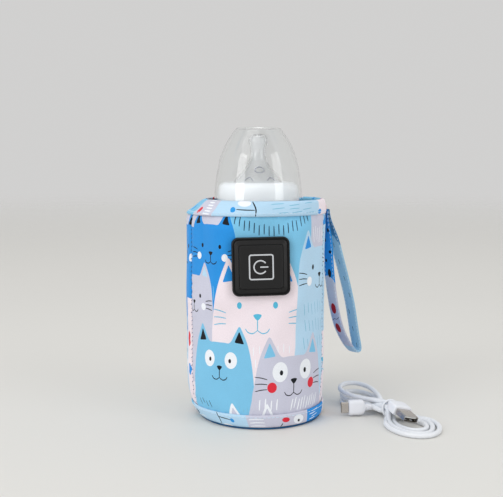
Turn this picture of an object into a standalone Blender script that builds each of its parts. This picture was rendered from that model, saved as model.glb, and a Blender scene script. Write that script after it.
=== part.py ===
"""A soft USB bottle warmer: a round padded fabric bag with a square push-button
controller, a wrist strap, a feeding bottle standing in it and a loose, tied
charging cable beside it.

Frame: origin at the centre of the base where it rests, +Z up, controller
facing -Y, strap at +X. Lengths below are in millimetres and become metres in
the helpers."""

import math

import bmesh
import bpy
from mathutils import Matrix, Vector

for old in list(bpy.data.objects):
    bpy.data.objects.remove(old, do_unlink=True)

MM = 0.001
GAP = 0.3  # clearance between pieces that touch

# ---------------------------------------------------------------- dimensions
STEPS = 36  # sides of every ring of the bag
R_BODY = 52.6  # nominal outer radius of the printed fabric
PANEL_T = 1.2
FOAM_OUT, FOAM_IN = 51.1, 46.0
WIRE_R, WIRE_D = 45.4, 0.6
FILM_OUT, FILM_IN = 44.8, 44.3
LINING_OUT, LINING_IN = 44.0, 43.0
BAND_OUT, BAND_IN = 53.9, 52.9
RIM_TOP, RIM_LOW = 166.0, 155.0
BASE_BAND_TOP = 11.5
# how the round bag sits: z, middle in x, half width in x, half width in y
SHAPE = [
    (0.0, 3.0, 46.2, 47.5),
    (4.0, 2.2, 47.6, 48.3),
    (11.0, 0.6, 50.0, 49.3),
    (22.0, -0.5, 51.8, 49.5),
    (40.0, -0.75, 52.6, 49.5),
    (150.0, -0.75, 52.6, 49.5),
    (155.0, -0.4, 52.0, 49.3),
    (160.0, 2.6, 48.8, 48.2),
    (166.0, 5.75, 45.2, 46.8),
]
ROWS = [22, 40, 83, 89, 95, 120, 145, 150]
SEAM_A, SEAM_B = 200, 340  # the front panel's two seams, in degrees
FRONT_Y = -47.6  # the fabric under the controller is pressed flat here

CTRL_X, CTRL_Z = -0.9, 119.7
CTRL_W, CTRL_H, CTRL_R = 41.5, 42.0, 5.0
CTRL_TILT = -1.2  # degrees about +Y
PAD = 31.0
PAD_TRAVEL = 0.6
SCREW_AT = 17.9

BOTTLE_X = 1.2
STRAP_W, STRAP_T = 9.5, 1.6
STRAP_TOP = Vector((55.0, 4.0, 157.0))
STRAP_YAW = 45.0

CORD_D = 4.0
HANK_A = Vector((84.0, 14.0, 0.0))  # the hank's long axis starts here
HANK_DIR = Vector((29.0, -71.0, 0.0)).normalized()
HANK_SIDE = Vector((-HANK_DIR.y, HANK_DIR.x, 0.0))

# ------------------------------------------------------------------- helpers
parts = bpy.data.collections.new("bottle_warmer")
cutters = bpy.data.collections.new("cutters")
for c in (parts, cutters):
    bpy.context.scene.collection.children.link(c)


def material(name, rgb, rough=0.6, metal=0.0, alpha=1.0, see_through=0.0):
    m = bpy.data.materials.new(name)
    m.use_nodes = True
    b = m.node_tree.nodes["Principled BSDF"]
    b.inputs["Base Color"].default_value = (*rgb, 1)
    b.inputs["Roughness"].default_value = rough
    b.inputs["Metallic"].default_value = metal
    b.inputs["Alpha"].default_value = alpha
    b.inputs["Transmission Weight"].default_value = see_through
    m.diffuse_color = (*rgb, 1)
    return m


PRINT = material("printed_fabric", (0.42, 0.68, 0.86), 0.85)
PRINT_BACK = material("printed_fabric_back", (0.45, 0.66, 0.84), 0.85)
BAND = material("band_fabric", (0.62, 0.79, 0.92), 0.85)
STRAP_M = material("strap_fabric", (0.36, 0.60, 0.84), 0.85)
FOAM = material("insulation_foam", (0.86, 0.87, 0.88), 0.9)
FOIL = material("lining_foil", (0.74, 0.75, 0.77), 0.35, 0.9)
FILM = material("heater_film", (0.80, 0.55, 0.22), 0.4)
WIRE = material("heating_wire", (0.55, 0.50, 0.47), 0.35, 1.0)
BLACK = material("controller_black", (0.012, 0.012, 0.013), 0.38)
ICON = material("icon_grey", (0.72, 0.74, 0.76), 0.5)
BOARD = material("board_green", (0.05, 0.25, 0.12), 0.5)
CHIP = material("component_black", (0.02, 0.02, 0.02), 0.5)
LED = material("led_lens", (0.9, 0.9, 0.85), 0.2)
STEEL = material("plated_steel", (0.72, 0.71, 0.69), 0.25, 1.0)
STIFF = material("base_board_grey", (0.30, 0.31, 0.33), 0.6)
CLEAR = material("clear_plastic", (0.93, 0.95, 0.96), 0.05, 0.0, 1.0, 0.9)
TEAT = material("clear_silicone", (0.93, 0.93, 0.91), 0.2, 0.0, 1.0, 0.7)
WHITE = material("white_plastic", (0.93, 0.94, 0.95), 0.3)
CORD = material("white_cord", (0.88, 0.89, 0.91), 0.4)


def place(obj, mat=None, group=None, smooth=False):
    (group or parts).objects.link(obj)
    if mat:
        obj.data.materials.append(mat)
    if group is cutters:
        obj.hide_render = True
        obj.display_type = "WIRE"
    if smooth and obj.type == "MESH":
        obj.data.shade_smooth()
        obj.data.set_sharp_from_angle(angle=math.radians(40))
    return obj


def as_mesh(obj, weld=1e-6):
    """The object's evaluated mesh, welded and facing out, as a new mesh."""
    bpy.context.view_layer.update()
    graph = bpy.context.evaluated_depsgraph_get()
    mesh = bpy.data.meshes.new_from_object(obj.evaluated_get(graph), depsgraph=graph)
    bm = bmesh.new()
    bm.from_mesh(mesh)
    bmesh.ops.remove_doubles(bm, verts=bm.verts, dist=weld)
    open_edges = [e for e in bm.edges if e.is_boundary]
    if open_edges:
        bmesh.ops.holes_fill(bm, edges=open_edges, sides=0)
    bmesh.ops.recalc_face_normals(bm, faces=bm.faces)
    bm.to_mesh(mesh)
    bm.free()
    return mesh


def drop(obj):
    data = obj.data
    bpy.data.objects.remove(obj, do_unlink=True)
    if data and not data.users:
        (bpy.data.meshes if isinstance(data, bpy.types.Mesh) else bpy.data.curves).remove(data)


def profile(name, points, closed):
    mesh = bpy.data.meshes.new(name)
    n = len(points)
    edges = [(i, (i + 1) % n) for i in range(n if closed else n - 1)]
    mesh.from_pydata([(r * MM, 0, z * MM) for r, z in points], edges, [])
    return mesh


def spun(name, points, closed=True, degrees=360.0, steps=STEPS):
    """A turned piece about Z from (radius, z) points that run down the outer side."""
    obj = bpy.data.objects.new(name, profile(name, points, closed))
    m = obj.modifiers.new("turn", "SCREW")
    m.axis, m.angle = "Z", math.radians(degrees)
    m.steps = m.render_steps = steps
    m.use_merge_vertices, m.merge_threshold = True, 0.00001
    return obj


def turned(name, points, mat, at=(0, 0, 0), closed=True, steps=26, group=None):
    obj = spun(name, points, closed, 360.0, steps)
    obj.location = Vector(at) * MM
    return place(obj, mat, group)


def lookup(z):
    for (z0, *a), (z1, *b) in zip(SHAPE, SHAPE[1:]):
        if z <= z1:
            t = max(0.0, (z - z0) / (z1 - z0))
            return [p + (q - p) * t for p, q in zip(a, b)]
    return list(SHAPE[-1][1:])


def ease(x):
    x = min(1.0, max(0.0, x))
    return x * x * (3 - 2 * x)


def bag_point(r, deg, z):
    """Where the nominal round bag's point lies on the real, slightly oval bag."""
    cx, a, b = lookup(z)
    t = math.radians(deg)
    x, y = cx + a / R_BODY * r * math.cos(t), b / R_BODY * r * math.sin(t)
    off = abs((deg - 270 + 180) % 360 - 180)
    weight = ease((46 - off) / 20) * ease((z - 83) / 12) * ease((155 - z) / 10)
    return Vector((x, y + weight * (FRONT_Y - b * math.sin(t)), z))


def bag_ring(name, outline, mat, start=0.0, end=360.0, trim=0.0, rows=ROWS, group=None):
    """A ring, or part of one, of the bag. outline runs down the outer side and
    up the inner side; rows of points are put in where the bag changes shape."""
    points = []
    for (r0, z0), (r1, z1) in zip(outline, outline[1:] + outline[:1]):
        points.append((r0, z0))
        mid = [z for z in rows if min(z0, z1) + 0.5 < z < max(z0, z1) - 0.5]
        for z in sorted(mid, reverse=z1 < z0):
            points.append((r0 + (r1 - r0) * (z - z0) / (z1 - z0), float(z)))
    steps = round((end - start) / (360 / STEPS))
    raw = spun(name + "_raw", points, True, end - start, steps)
    place(raw, None, cutters)
    mesh = as_mesh(raw)
    drop(raw)
    split = []
    half = math.radians(180 / STEPS)
    flat = []  # (radius, degrees from the start, height) of each point of the round ring
    for v in mesh.vertices:
        r, deg, z = math.hypot(v.co.x, v.co.y) / MM, math.degrees(math.atan2(v.co.y, v.co.x)) % 360, v.co.z / MM
        flat.append([r, 0.0 if r < 0.01 or deg > 359.99 else deg, z])
    # every layer's twisted quads are split the same way, so that the layers nest
    for p in [p for p in mesh.polygons if p.loop_total == 4]:
        ids = list(p.vertices)
        turns = [flat[i][1] for i in ids]
        turns = [t + 360 if t < 90 and max(turns) > 270 else t for t in turns]
        keys = [(round(t, 1), round(flat[i][2], 2)) for t, i in zip(turns, ids)]
        if len({k[0] for k in keys}) == 2 and len({k[1] for k in keys}) == 2 and len(set(keys)) == 4:
            split.append((ids, keys.index(min(keys))))
    for i, (r, deg, z) in enumerate(flat):
        if trim and (abs(deg) < 0.01 or abs(deg - (end - start)) < 0.01):
            shift = math.degrees(trim / r)
            r *= math.cos(half) / math.cos(half - math.radians(shift))
            deg += shift if abs(deg) < 0.01 else -shift
        mesh.vertices[i].co = bag_point(r, (deg + start) % 360, z) * MM
    bm = bmesh.new()
    bm.from_mesh(mesh)
    bm.verts.ensure_lookup_table()
    for ids, k in split:
        bmesh.ops.connect_verts(bm, verts=[bm.verts[ids[k]], bm.verts[ids[(k + 2) % 4]]])
    bm.to_mesh(mesh)
    bm.free()
    mesh.name = name
    return place(bpy.data.objects.new(name, mesh), mat, group)


def tube(name, points, diameter, mat, group=None, sides=2, radii=None):
    """A round bar along points, in millimetres, with closed ends."""
    curve = bpy.data.curves.new(name, "CURVE")
    curve.dimensions, curve.bevel_depth = "3D", diameter / 2 * MM
    curve.bevel_resolution, curve.use_fill_caps = sides, True
    line = curve.splines.new("POLY")
    line.points.add(len(points) - 1)
    for i, p in enumerate(points):
        line.points[i].co = (*(Vector(p) * MM), 1)
        line.points[i].radius = radii[i] if radii else 1.0
    return place(bpy.data.objects.new(name, curve), mat, group)


def solid_tube(name, points, diameter, mat, group=None, sides=2):
    """The same bar as a welded mesh, for cutting with or cutting into."""
    raw = tube(name + "_raw", points, diameter, None, cutters, sides)
    mesh = as_mesh(raw)
    drop(raw)
    mesh.name = name
    return place(bpy.data.objects.new(name, mesh), mat, group)


def slab(name, outline, depth, mat, matrix, group=None, bevel=0.0, holes=()):
    """A flat outline in its own XY plane, extruded from local z 0 to depth, put in place by matrix."""
    curve = bpy.data.curves.new(name, "CURVE")
    curve.dimensions, curve.fill_mode, curve.extrude = "2D", "BOTH", depth / 2 * MM
    for ring in (outline, *holes):
        line = curve.splines.new("POLY")
        line.points.add(len(ring) - 1)
        line.use_cyclic_u = True
        for i, (x, y) in enumerate(ring):
            line.points[i].co = (x * MM, y * MM, 0, 1)
    raw = bpy.data.objects.new(name + "_raw", curve)
    place(raw, None, cutters)
    mesh = as_mesh(raw)
    drop(raw)
    mesh.name = name
    mesh.transform(matrix @ Matrix.Translation((0, 0, depth / 2 * MM)))
    bm = bmesh.new()
    bm.from_mesh(mesh)
    bmesh.ops.recalc_face_normals(bm, faces=bm.faces)
    bm.to_mesh(mesh)
    bm.free()
    obj = place(bpy.data.objects.new(name, mesh), mat, group)
    if bevel:
        b = obj.modifiers.new("edges", "BEVEL")
        b.width, b.segments, b.limit_method = bevel * MM, 2, "ANGLE"
        b.angle_limit = math.radians(50)
    return obj


def rounded(w, h, r, n=4):
    """Corner-rounded rectangle, counter-clockwise."""
    ring = []
    for cx, cy, a in ((w / 2 - r, h / 2 - r, 0), (r - w / 2, h / 2 - r, 90), (r - w / 2, r - h / 2, 180), (w / 2 - r, r - h / 2, 270)):
        ring += [(cx + r * math.cos(math.radians(a + 90 * i / n)), cy + r * math.sin(math.radians(a + 90 * i / n))) for i in range(n + 1)]
    return ring


def box(name, low, high, mat, group=None, matrix=None, bevel=0.0):
    bm = bmesh.new()
    bmesh.ops.create_cube(bm, size=1.0)
    lo, hi = Vector(low) * MM, Vector(high) * MM
    for v in bm.verts:
        v.co = Vector([(l + h) / 2 + c * (h - l) for l, h, c in zip(lo, hi, v.co)])
    mesh = bpy.data.meshes.new(name)
    bm.to_mesh(mesh)
    bm.free()
    obj = bpy.data.objects.new(name, mesh)
    if matrix is not None:
        mesh.transform(matrix)
    place(obj, mat, group)
    if bevel:
        b = obj.modifiers.new("edges", "BEVEL")
        b.width, b.segments, b.limit_method = bevel * MM, 2, "ANGLE"
    return obj


def rod(name, low, high, radius, mat, group=None, matrix=None, sides=16):
    """A cylinder between two points on a line."""
    a, b = Vector(low) * MM, Vector(high) * MM
    bm = bmesh.new()
    bmesh.ops.create_cone(bm, cap_ends=True, segments=sides, radius1=radius * MM, radius2=radius * MM, depth=(b - a).length)
    mesh = bpy.data.meshes.new(name)
    bm.to_mesh(mesh)
    bm.free()
    turn = Vector((0, 0, 1)).rotation_difference(b - a).to_matrix().to_4x4()
    mesh.transform(Matrix.Translation((a + b) / 2) @ turn)
    if matrix is not None:
        mesh.transform(matrix)
    return place(bpy.data.objects.new(name, mesh), mat, group)


def boolean(obj, other, how="DIFFERENCE"):
    m = obj.modifiers.new(other.name[:40], "BOOLEAN")
    m.operation, m.solver, m.object = how, "EXACT", other


def bake(obj):
    """Applies an object's modifiers, so that it can be moved or cut again."""
    mesh = as_mesh(obj)
    mesh.name = obj.name
    obj.modifiers.clear()
    old = obj.data
    mats = list(old.materials)
    obj.data = mesh
    obj.data.materials.clear()
    for m in mats:
        obj.data.materials.append(m)
    bpy.data.meshes.remove(old)
    return obj


def smooth_closed(points, per=4):
    """A closed Catmull-Rom line through points."""
    out, n = [], len(points)
    for i in range(n):
        p0, p1, p2, p3 = (Vector((*points[(i + k - 1) % n], 0)) for k in range(4))
        for j in range(per):
            t = j / per
            q = 0.5 * (2 * p1 + (p2 - p0) * t + (2 * p0 - 5 * p1 + 4 * p2 - p3) * t * t + (3 * p1 - p0 - 3 * p2 + p3) * t ** 3)
            out.append((q.x, q.y))
    return out


def smooth_line(points, per=3):
    pts = [Vector(p) for p in points]
    pts = [2 * pts[0] - pts[1]] + pts + [2 * pts[-1] - pts[-2]]
    out = []
    for i in range(1, len(pts) - 2):
        p0, p1, p2, p3 = pts[i - 1 : i + 3]
        for j in range(per):
            t = j / per
            out.append(0.5 * (2 * p1 + (p2 - p0) * t + (2 * p0 - 5 * p1 + 4 * p2 - p3) * t * t + (3 * p1 - p0 - 3 * p2 + p3) * t ** 3))
    return out + [pts[-2]]


# the controller's own frame: x right, y inwards, z up, 0 on the fabric
CTRL = (
    Matrix.Translation(Vector((CTRL_X, FRONT_Y, CTRL_Z)) * MM)
    @ Matrix.Rotation(math.radians(CTRL_TILT), 4, "Y")
)
# a slab drawn in XY and extruded along its local z, stood up so that its depth runs along the controller's y
STAND = Matrix.Rotation(math.radians(-90), 4, "X") @ Matrix.Scale(-1, 4, (0, 1, 0))


def ctrl_slab(name, outline, y0, depth, mat, bevel=0.0, holes=(), group=None):
    """A flat outline (x right, z up) from the controller's y0 inwards by depth."""
    lift = Matrix.Translation((0, y0 * MM, 0))
    return slab(name, outline, depth, mat, CTRL @ lift @ STAND, group, bevel, holes)


# ------------------------------------------------------------------- the bag
front = bag_ring("outer_front_panel", [(R_BODY, 164.7), (R_BODY, 2.8), (R_BODY - PANEL_T, 2.8), (R_BODY - PANEL_T, 164.7)], PRINT, SEAM_A, SEAM_B, 0.15, ROWS + [11, 155, 160])
back = bag_ring("outer_back_panel", [(R_BODY, 164.7), (R_BODY, 2.8), (R_BODY - PANEL_T, 2.8), (R_BODY - PANEL_T, 164.7)], PRINT_BACK, SEAM_B, SEAM_A + 360, 0.15, [11, 22, 40, 83, 120, 150, 155, 160])
foam = bag_ring("insulation_foam", [(FOAM_OUT, 153.0), (FOAM_OUT, 8.6), (FOAM_IN, 8.6), (FOAM_IN, 146.0), (49.2, 153.0)], FOAM, rows=ROWS + [11])
bag_ring("heater_film", [(FILM_OUT, 140.0), (FILM_OUT, 20.0), (FILM_IN, 20.0), (FILM_IN, 140.0)], FILM)
lining = bag_ring("inner_lining", [(51.0, 164.2), (51.0, 156.0), (44.0, 147.5), (44.0, 8.6), (0.0, 8.6), (0.0, 9.6), (43.0, 9.6), (43.0, 147.9), (50.1, 156.4), (50.1, 164.2)], FOIL, rows=ROWS + [11, 160])
bag_ring("rim_binding", [(BAND_OUT, RIM_TOP), (BAND_OUT, RIM_LOW), (BAND_IN, RIM_LOW), (BAND_IN, RIM_TOP - 1.0), (49.8, RIM_TOP - 1.0), (49.8, 157.0), (48.9, 157.0), (48.9, RIM_TOP)], BAND, rows=[160])
bag_ring("base_binding", [(BAND_OUT, BASE_BAND_TOP), (BAND_OUT, 2.6), (BAND_OUT - 1.1, 1.5), (46.0, 1.5), (46.0, 2.5), (BAND_IN - 0.6, 2.5), (BAND_IN, 3.1), (BAND_IN, BASE_BAND_TOP)], BAND, rows=[4])
bag_ring("base_fabric", [(0.0, 1.2), (52.0, 1.2), (52.6, 0.6), (52.0, 0.0), (0.0, 0.0)], PRINT_BACK, rows=[])
bag_ring("base_board", [(0.0, 3.0), (45.4, 3.0), (45.4, 1.5), (0.0, 1.5)], STIFF, rows=[])
bag_ring("base_foam", [(0.0, 8.3), (50.8, 8.3), (50.8, 3.4), (0.0, 3.4)], FOAM, rows=[4])

# heating wire: up and down runs between the film and the foam
wire, up = [], True
TURNS = 17
for k in range(TURNS):
    deg = 10 + 20 * k
    levels = [26.0, 40.0, 83.0, 89.0, 95.0, 138.0] if 225 < deg < 315 else [26.0, 40.0, 138.0]
    for z in levels if up else reversed(levels):
        wire.append(bag_point(WIRE_R, deg, z))
    if k < TURNS - 1:
        wire.append(bag_point(WIRE_R, deg + 10, 138.0 if up else 26.0))
    up = not up
tube("heating_wire", wire, WIRE_D, WIRE, sides=0)

# ------------------------------------------------------------ the controller
outer = rounded(CTRL_W, CTRL_H, CTRL_R, 4)
opening = rounded(PAD + 0.6, PAD + 0.6, 1.8, 2)
cover = ctrl_slab("controller_cover", outer, -4.9, 4.9 - GAP, BLACK, 1.1, holes=(opening,))
bake(cover)
screw_spots = [(sx * SCREW_AT, sz * (SCREW_AT + 0.2)) for sx in (-1, 1) for sz in (-1, 1)]
for i, (sx, sz) in enumerate(screw_spots):
    boolean(cover, rod(f"cut_cover_{i}", (sx, -2.6, sz), (sx, 2, sz), 1.2, None, cutters, CTRL, 8))
pad = ctrl_slab("button_pad", rounded(PAD, PAD, 1.6, 2), -5.6, 1.3, BLACK, 0.5)
ctrl_slab("icon_frame", rounded(17.7, 18.3, 2.0, 3), -5.9, 0.2, ICON, holes=(rounded(15.1, 15.7, 0.9, 2),))


def arc_band(radius, width, a0, a1, n):
    o = [(math.cos(math.radians(a0 + (a1 - a0) * i / n)), math.sin(math.radians(a0 + (a1 - a0) * i / n))) for i in range(n + 1)]
    return [((radius + width / 2) * x, (radius + width / 2) * y) for x, y in o] + [((radius - width / 2) * x, (radius - width / 2) * y) for x, y in reversed(o)]


ctrl_slab("icon_arc", [(x - 0.6, z) for x, z in arc_band(4.6, 1.15, 42, 318, 14)], -5.9, 0.2, ICON)
ctrl_slab("icon_bar", [(-0.9, -0.55), (5.1, -0.55), (5.1, 0.55), (-0.9, 0.55)], -5.9, 0.2, ICON)
ctrl_slab("control_board", rounded(30.2, 30.2, 1.0, 1), -1.5, 1.0, BOARD)
switch = box("switch_body", (-3, -3.4, -3), (3, -1.6, 3), CHIP, None, CTRL)
boolean(switch, rod("cut_switch", (0, -4, 0), (0, -2.2, 0), 1.8, None, cutters, CTRL, 12))
rod("switch_plunger", (0, -4.2, 0), (0, -3.1, 0), 1.5, CHIP, None, CTRL, 12)
box("control_chip", (-2.5, -2.6, -11), (2.5, -1.6, -7), CHIP, None, CTRL)
for i, x in enumerate((-7.0, 0.0, 7.0)):
    box(f"status_led_{i + 1}", (x - 0.8, -2.2, 7.6), (x + 0.8, -1.6, 8.8), LED, None, CTRL)

plate = ctrl_slab("controller_back_plate", rounded(39.0, 39.5, 3.5, 2), 1.5, 1.8, CHIP)
boss = ctrl_slab("boss_shape", rounded(30.4, 30.4, 1.4, 1), -0.2, 2.4, None, group=cutters)
boolean(plate, boss, "UNION")
boolean(plate, rod("cut_plate_lead", (8, -2, -12), (8, 5, -12), 1.2, None, cutters, CTRL, 8))
for i, (sx, sz) in enumerate(screw_spots):
    boolean(plate, rod(f"cut_plate_{i}", (sx, 0.5, sz), (sx, 5, sz), 1.2, None, cutters, CTRL, 8))
    screw = rod(f"controller_screw_{i + 1}", (sx, -2.2, sz), (sx, 4.0, sz), 0.9, STEEL, None, CTRL, 8)
    boolean(screw, rod(f"screw_head_{i}", (sx, 3.6, sz), (sx, 4.7, sz), 1.7, None, cutters, CTRL, 10), "UNION")

# the fabric and foam open for the controller
boolean(front, ctrl_slab("cut_window", rounded(31.0, 31.0, 1.6, 2), -3.0, 6.0, None, group=cutters))
for i, (sx, sz) in enumerate(screw_spots):
    boolean(front, rod(f"cut_front_{i}", (sx, -2, sz), (sx, 4, sz), 1.3, None, cutters, CTRL, 8))
boolean(foam, box("cut_pocket", (-21.2, -4, -21.4), (21.2, 5.1, 21.4), None, cutters, CTRL))
boolean(foam, rod("cut_foam_lead", (8, 3, -12), (8, 9, -12), 1.2, None, cutters, CTRL, 8))
tube("heater_lead", [CTRL @ (Vector(p) * MM) / MM for p in ((8, 0.2, -12), (8, 3.6, -12), (8, 6.6, -12))], 1.5, CHIP)

# ------------------------------------------------------------ sensors, inlet
boolean(foam, box("cut_ntc", (44.6, -1.9, 55.5), (48.4, 1.9, 64.5), None, cutters))
rod("temperature_sensor", (46.7, 0, 56.4), (46.7, 0, 63.6), 1.05, CHIP, None, None, 10)
boolean(foam, box("cut_fuse", (-50.0, -2.4, 55.0), (-46.0, 2.4, 66.0), None, cutters))
box("thermal_cutoff", (-49.4, -1.9, 55.8), (-47.3, 1.9, 65.2), STEEL, None, None, 0.3)

INLET_Z = 26.0
box_in = rounded(15.0, 9.0, 3.0, 3)
inlet_at = Matrix.Translation(Vector((-0.5, 49.8, INLET_Z)) * MM) @ STAND
inlet = slab("inlet_housing", box_in, 1.6, BLACK, inlet_at)
body_in = slab("inlet_body_shape", rounded(11.4, 6.4, 2.0, 2), 5.7, None, Matrix.Translation(Vector((-0.5, 44.5, INLET_Z)) * MM) @ STAND, cutters)
boolean(inlet, body_in, "UNION")
boolean(inlet, slab("cut_socket", rounded(9.2, 3.4, 1.69, 3), 6.8, None, Matrix.Translation(Vector((-0.5, 45.3, INLET_Z)) * MM) @ STAND, cutters))
box("inlet_contact_blade", (-3.7, 45.6, INLET_Z - 0.35), (2.7, 50.4, INLET_Z + 0.35), CHIP)
boolean(back, slab("cut_back_window", rounded(12.2, 7.2, 2.2, 2), 9.0, None, Matrix.Translation(Vector((-0.5, 44.0, INLET_Z)) * MM) @ STAND, cutters))
boolean(foam, box("cut_inlet_pocket", (-6.7, 44.1, INLET_Z - 3.7), (5.7, 52.0, INLET_Z + 3.7), None, cutters))


def lead_point(deg, extra=0.0):
    t = (deg - 98.5) / (246.0 - 98.5)
    return bag_point(49.8, deg, 26.0 + (112.0 - 26.0) * ease(t) + extra)


count = 20
lead = [lead_point(98.5 + (246.0 - 98.5) * i / count) for i in range(count + 1)]
groove = [lead_point(95.0)] + lead + [lead_point(249.0)]
tube("inlet_lead", lead, 1.9, CHIP)
boolean(foam, solid_tube("cut_groove", groove, 3.3, None, cutters, 2))

# ------------------------------------------------------------------ the strap
# (distance out from the sewn end, height) down the inner leg, round the fold and up
STRAP_LINE = [
    (-1.0, 157.0), (0.0, 141.0), (2.4, 116.0), (5.2, 99.0), (10.4, 79.0), (17.0, 63.0), (26.5, 49.8), (33.0, 43.4),
    (37.8, 39.9), (41.0, 39.2), (42.6, 41.2), (42.0, 45.5), (38.6, 56.0), (31.8, 80.5), (23.4, 102.0), (15.0, 121.0),
    (7.2, 139.0), (2.6, 150.5), (1.0, 157.0),
]
mid = smooth_line([(x, z, 0) for x, z in STRAP_LINE], 2)
left_side, right_side = [], []
for i, p in enumerate(mid):
    a, b = mid[max(0, i - 1)], mid[min(len(mid) - 1, i + 1)]
    d = (b - a).normalized()
    side = Vector((-d.y, d.x, 0)) * STRAP_T / 2
    left_side.append(((p + side).x, (p + side).y))
    right_side.append(((p - side).x, (p - side).y))
strap = slab("wrist_strap", left_side + right_side[::-1], STRAP_W, STRAP_M, Matrix.Identity(4))
out_dir = Vector((math.cos(math.radians(STRAP_YAW)), math.sin(math.radians(STRAP_YAW)), 0))
for v in strap.data.vertices:  # the tape lies flat on the bag where it is sewn, and turns as it hangs
    s, z, w = v.co.x / MM, v.co.y / MM, v.co.z / MM - STRAP_W / 2
    turn = math.radians(4 + (STRAP_YAW - 4) * ease((154 - z) / 26))
    across = Vector((-math.sin(turn), math.cos(turn), 0))
    v.co = (Vector((STRAP_TOP.x, STRAP_TOP.y, z)) + out_dir * s + across * w) * MM
strap.data = as_mesh(strap)
strap.data.materials.clear()
strap.data.materials.append(STRAP_M)
pivot = bpy.data.objects.new("strap_pivot", None)
pivot.location = STRAP_TOP * MM
parts.objects.link(pivot)

# ----------------------------------------------------------------- the bottle
B = (BOTTLE_X, 0, 0)
turned("bottle_body", [(26.6, 172.2), (28.0, 171.9), (28.0, 153.0), (29.6, 150.5), (31.8, 146.0), (33.0, 139.0), (33.0, 14.5), (31.6, 11.2), (28.6, 9.9), (0.0, 9.9), (0.0, 11.6), (28.4, 11.6), (30.6, 13.0), (31.3, 15.5), (31.3, 138.6), (30.2, 144.6), (27.2, 149.8), (26.2, 153.0), (26.2, 171.6)], CLEAR, B)
turned("bottle_collar", [(22.0, 178.3), (24.5, 178.25), (28.2, 176.9), (30.2, 174.0), (31.0, 170.2), (31.0, 156.2), (28.5, 156.2), (28.5, 174.3), (20.6, 174.3), (20.6, 177.6), (21.0, 178.2)], WHITE, B)
turned("bottle_teat", [(0.0, 214.0), (3.6, 213.7), (6.2, 212.2), (7.5, 209.2), (7.0, 205.6), (5.9, 202.4), (6.1, 198.0), (7.8, 192.5), (11.5, 187.0), (15.8, 182.6), (18.4, 178.2), (19.6, 173.9), (27.2, 173.9), (27.2, 172.5), (17.8, 172.5), (16.8, 177.4), (14.4, 181.4), (10.2, 185.9), (6.4, 191.8), (4.5, 198.0), (4.4, 202.6), (5.4, 206.0), (5.9, 209.0), (4.9, 211.2), (3.0, 212.3), (0.0, 212.5)], TEAT, B, closed=False, steps=22)
turned("bottle_hood", [(0.0, 219.6), (11.0, 219.4), (17.0, 218.7), (19.6, 215.4), (23.2, 209.6), (26.1, 203.8), (28.7, 197.1), (30.5, 189.5), (31.9, 181.6), (32.9, 172.9), (33.4, 165.0), (33.4, 160.6), (32.1, 160.6), (32.1, 165.0), (31.6, 172.8), (30.6, 181.3), (29.2, 189.2), (27.4, 196.6), (24.9, 203.1), (22.0, 208.9), (18.6, 214.3), (16.4, 216.4), (0.0, 216.9)], CLEAR, B, closed=False)

# ------------------------------------------------------------------ the cable


def hank(s, n, z=0.0):
    return HANK_A + HANK_DIR * s + HANK_SIDE * n + Vector((0, 0, z))


def coil_solid(name, outline, z0, height, mat):
    ring = smooth_closed([tuple(hank(s, n).xy) for s, n in outline], 3)
    return slab(name, ring, height, mat, Matrix.Translation((0, 0, z0 * MM)))


coil_solid("cable_coil_rear", [(-19.0, 4.0), (-13.0, 11.0), (0.0, 13.5), (14.0, 12.0), (26.0, 6.0), (30.6, 1.0), (29.5, -2.6), (23.0, -4.0), (15.0, -8.5), (7.0, -14.5), (-2.0, -17.0), (-13.0, -12.0), (-18.5, -4.0)], 0.0, 17.0, CORD)
coil_solid("cable_coil_front", [(46.5, 0.0), (50.0, 9.0), (56.0, 18.0), (65.0, 24.0), (77.0, 22.0), (89.0, 12.0), (97.0, -2.0), (96.0, -13.0), (86.0, -20.0), (73.0, -21.0), (60.0, -18.0), (50.0, -10.0)], 0.0, 4.2, CORD)
tube("cable_waist", [hank(35.4, 0, 6.9), hank(38.0, 0, 6.9), hank(41.0, 0, 6.9), hank(45.0, 0, 6.9)], 10.0, CORD)
tie = bpy.data.meshes.new("cable_tie")
ring = []
for i in range(24):
    a = 2 * math.pi * i / 24
    ring.append(hank(41.2, 6.3 * math.cos(a), 6.9 + 6.2 * math.sin(a)))
curve = bpy.data.curves.new("cable_tie", "CURVE")
curve.dimensions, curve.bevel_depth, curve.bevel_resolution = "3D", 0.0006, 1
line = curve.splines.new("POLY")
line.points.add(23)
line.use_cyclic_u = True
for i, p in enumerate(ring):
    line.points[i].co = (*(p * MM), 1)
place(bpy.data.objects.new("cable_tie", curve), CORD)

# small plug, standing on its edge and pointing along -X
C_AT = Matrix.Translation(Vector((69.0, -18.4, 6.7)) * MM) @ Matrix.Rotation(math.radians(3), 4, "Z") @ Matrix.Rotation(math.radians(-9), 4, "X")
TO_X = Matrix(((0, 0, 1, 0), (1, 0, 0, 0), (0, 1, 0, 0), (0, 0, 0, 1)))  # a slab's depth along +X, its x along Y, its y along Z
c_shell = slab("usb_c_shell", rounded(2.6, 8.3, 1.25, 3), 5.4, STEEL, C_AT @ Matrix.Translation((-5.7 * MM, 0, 0)) @ TO_X)
boolean(c_shell, slab("cut_c_shell", rounded(2.0, 7.7, 0.98, 3), 6.0, None, C_AT @ Matrix.Translation((-6.3 * MM, 0, 0)) @ TO_X, cutters))
slab("usb_c_body", rounded(6.4, 11.8, 2.2, 3), 12.2, CORD, C_AT @ TO_X, bevel=0.8)
relief_c = [C_AT @ (Vector((x, 0, 0)) * MM) / MM for x in (12.5, 14.6, 16.8, 18.6)]
tube("usb_c_strain_relief", relief_c, 6.0, CORD, radii=[1.0, 0.95, 0.85, 0.75])
tube("cable_lead", [hank(32.5, -6.1, 6.5), hank(35.2, -7.3, 6.3), hank(37.8, -8.5, 6.1)], 3.6, CORD)

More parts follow.
